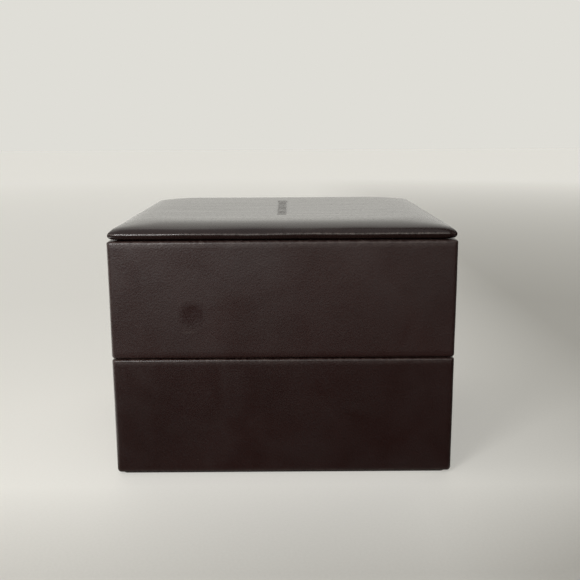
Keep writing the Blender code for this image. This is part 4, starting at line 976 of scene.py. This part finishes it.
def cushion_half(name, side, body, replaced, tools):
    ends = sorted((side * SPLIT, side * CUSHION_Y))
    room_low, room_high = (-CUSHION_X, ends[0], CUSHION_LOW), (CUSHION_X, ends[1], CUSHION_HIGH)
    inner = SWELL - 0.0001
    low = Vector(room_low) + Vector((inner, inner if side < 0 else 0.0003, 0.0003))
    high = Vector(room_high) - Vector((inner, inner if side > 0 else 0.0003, inner))
    bm = brick(low, high)
    far = [e for e in bm.edges if all(v.co.y * side > CUSHION_Y / 2 for v in e.verts)]
    bevel(bm, far, CUSHION_ROUND, 5)
    mesh = swollen(bm, room_low, room_high)
    seamed(mesh)
    stitches(name + "_stitches", mesh, side, body)
    bm = cut_away(mesh, tools) if tools else from_mesh(mesh)
    piece = new_piece(name, bm, "cushion_leather", body, replaced, TILTED, angle=60)


TONGUE_X, TONGUE_Z, TONGUE_END, POCKET_END, POCKET_ROOM = 0.024, 0.014, 0.0100, 0.0190, 0.0004
pocket_x, pocket_z = TONGUE_X + POCKET_ROOM, TONGUE_Z + POCKET_ROOM
pocket_low = (-pocket_x, SPLIT - 0.002, CUSHION_MIDDLE - pocket_z)
pocket = brick(pocket_low, (pocket_x, POCKET_END, CUSHION_MIDDLE + pocket_z))
cushion_half("cushion_base_cover", -1, "cushion", "cushion_base_half", [])
cushion_half("cushion_jaw_cover", 1, "jaw", "cushion_jaw", [pocket])

SPRING_RADIUS, SPRING_WIRE, SPRING_TURNS = 0.0042, 0.0005, 6
SPRING_LOW, SPRING_HIGH = -0.0032, 0.0182
tongue = brick(
    (-TONGUE_X, -SPLIT - 0.0004, CUSHION_MIDDLE - TONGUE_Z),
    (TONGUE_X, TONGUE_END, CUSHION_MIDDLE + TONGUE_Z),
)
bevel(tongue, tongue.edges[:], 0.0008, 3)
seat = from_mesh(turned_mesh([(0.0054, -0.0040), (0.0054, TONGUE_END + 0.002)], 48))
seat.transform(Matrix.Translation((0, 0, CUSHION_MIDDLE)) @ Matrix.Rotation(-math.pi / 2, 4, "X"))
slider = cut_away(to_mesh("tongue", tongue), [seat])
new_piece("cushion_slider", slider, "black_plastic", "cushion", None, TILTED)


def spring_bm():
    """A compression spring along +Y whose end turns lie close together."""
    steps = SPRING_TURNS * 28
    dead = 0.0011  # rise of each end turn
    live = SPRING_HIGH - SPRING_LOW - 2 * dead
    spine = []
    for i in range(steps + 1):
        turns = i / steps * SPRING_TURNS
        if turns < 1:
            rise = dead * turns
        elif turns > SPRING_TURNS - 1:
            rise = SPRING_HIGH - SPRING_LOW - dead * (SPRING_TURNS - turns)
        else:
            rise = dead + live * (turns - 1) / (SPRING_TURNS - 2)
        out = Vector((math.cos(math.tau * turns), 0, math.sin(math.tau * turns)))
        centre = out * SPRING_RADIUS + Vector((0, SPRING_LOW + rise, CUSHION_MIDDLE))
        spine.append((centre, out * SPRING_WIRE, Vector((0, SPRING_WIRE, 0))))
    bm = bmesh.new()
    tube(bm, spine, 10)
    return bm


spring = new_piece("coil_spring", spring_bm(), "steel", "cushion", "cushion_spring", TILTED)
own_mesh(spring)

# ---------------------------------------------------------------- camera
PITCH, YAW, ROLL = math.radians(11.48), math.radians(0.17), math.radians(0.30)
EYE = Vector((-HALF_X - 0.407, -0.0025, 0.1839))
camera_data = bpy.data.cameras.new("camera")
camera_data.lens, camera_data.sensor_width = 50.04, 36.0
camera_data.clip_start = 0.01
camera = add_object("camera", camera_data)
reach = math.cos(PITCH)
forward = Vector((reach * math.cos(YAW), -reach * math.sin(YAW), -math.sin(PITCH)))
right = forward.cross(Vector((0, 0, 1))).normalized()
up = right.cross(forward)
up = up * math.cos(ROLL) + right * math.sin(ROLL)
right = forward.cross(up)
turned_to = Matrix((right, up, -forward)).transposed().to_4x4()
camera.matrix_world = Matrix.Translation(EYE) @ turned_to
bpy.context.scene.camera = camera


# ---------------------------------------------------------------- floor and light
def soft_light(name, place, target, size, power):
    data = bpy.data.lights.new(name, "AREA")
    data.shape, data.size, data.energy = "SQUARE", size, power
    lamp = add_object(name, data)
    lamp.location = place
    lamp.visible_camera = False
    lamp.rotation_euler = (Vector(place) - Vector(target)).to_track_quat("Z", "Y").to_euler()


FLOOR_SIZE = 6.0
FLOOR_FRONT = -HALF_X - 0.003  # in front of this the floor reflects little, like a dim room


def make_floor():
    """A pale floor that runs to the horizon in the wall's tone, with a painted shadow of the box on its
    side away from the window.
    """
    bm = bmesh.new()
    bmesh.ops.create_grid(bm, x_segments=8, y_segments=8, size=FLOOR_SIZE)
    mesh = to_mesh("floor", bm)
    look = Look("floor", roughness=0.9, Specular_IOR_Level=0.1)
    grain = look.noise(700.0, 2.0)
    look.bump(grain, 0.0002, 0.2)
    seen = look.add("ShaderNodeLightPath").outputs["Is Camera Ray"]
    parts = look.add("ShaderNodeSeparateXYZ", {0: look.place})
    along, across = parts.outputs["X"], parts.outputs["Y"]
    pale = look.mix(look.vary(grain), (0.55, 0.535, 0.50), (0.53, 0.515, 0.48))
    beside = look.spread(along, FLOOR_FRONT - 0.004, FLOOR_FRONT)
    bounce = look.mix(beside, (0.02, 0.02, 0.02), (0.45, 0.44, 0.41))
    look.shader.inputs["Emission Color"].default_value = (1.0, 0.985, 0.93, 1)
    away = look.length(look.place)
    # The glow, less the painted shadow of the box on the side away from the window.
    near = look.math("SUBTRACT", look.spread(along, *NEAR_GLOW), look.spread(across, *FLOOR_PAINTED_SHADOW))
    glow = look.spread(away, *FAR, look.math("MAXIMUM", near, 0.0), FAR_GLOW)
    side = look.math("MULTIPLY", look.spread(across, *SIDE_GLOW), look.spread(along, *SIDE_ALONG))
    glow = look.spread(seen, 0.0, 1.0, side, glow)
    mesh.materials.append(look.finish(Base_Color=look.mix(seen, bounce, pale), Emission_Strength=glow))
    add_object("floor", mesh)


def make_world():
    """A pale wall behind the box, a soft light high up, and a window's glow in the room in front."""
    world = bpy.data.worlds.new("studio")
    bpy.context.scene.world = world
    world.use_nodes = True
    tree = world.node_tree

    def add(kind, inputs=None, **settings):
        return add_node(tree, kind, inputs, **settings)

    towards = add("ShaderNodeTexCoord").outputs["Generated"]
    level = ROOM_LEVEL
    for direction, start, full, strength in GLOWS:
        unit = Vector(direction).normalized()
        turn = add("ShaderNodeVectorMath", {0: towards, 1: unit}, operation="DOT_PRODUCT")
        start, full = math.cos(math.radians(start)), math.cos(math.radians(full))
        limits = {0: turn.outputs["Value"], 1: start, 2: full, 3: 0.0, 4: strength}
        lobe = add("ShaderNodeMapRange", limits, interpolation_type="SMOOTHSTEP")
        level = add("ShaderNodeMath", {0: level, 1: lobe.outputs[0]}).outputs[0]
    seen = add("ShaderNodeLightPath").outputs["Is Camera Ray"]
    strength = add("ShaderNodeMix", {"Factor": seen, "A": level, "B": WALL_SEEN}, data_type="FLOAT")
    background = tree.nodes["Background"]
    background.inputs["Color"].default_value = (1.0, 0.985, 0.92, 1)
    tree.links.new(strength.outputs[0], background.inputs["Strength"])


GLOWS = (  # (towards, degrees off it where the glow ends, and where it is full, strength)
    ((1.0, 0.0, 0.35), 58, 30, 0.95),
    ((-0.88, 0.42, 0.16), 26, 6, 2.0),
    ((-0.97, -0.20, 0.37), 26, 6, 2.0),
    ((0.15, 0.98, 0.00), 50, 20, 0.8),
)
ROOM_LEVEL, WALL_SEEN = 0.03, 0.74
# The floor's glow as the camera sees it: from one coordinate to another, and the value at each.
NEAR_GLOW = (-0.185, -0.10, 0.07, 0.34)  # less towards the room in front
FLOOR_PAINTED_SHADOW = (-0.25, -0.07, 0.28, 0.0)  # painted shadow of the box, taken from the glow on the side away from the window
FAR, FAR_GLOW = (0.45, 2.4), 0.52  # away from the box it blends into the wall's tone
# The window lights the shelf beside the box, and the box reflects it.
SIDE_GLOW, SIDE_ALONG = (0.10, 0.14, 0.0, 1.6), (-0.18, -0.10, 0.0, 1.0)
make_floor()
make_world()
soft_light("key", (-0.42, 0.18, 0.25), (-0.0855, 0.0, 0.09), 0.12, 0.85)
soft_light("overhead", (-0.30, 0.40, 1.10), (0, 0, 0.06), 1.8, 5.2)
bpy.context.scene.view_settings.view_transform = "Standard"
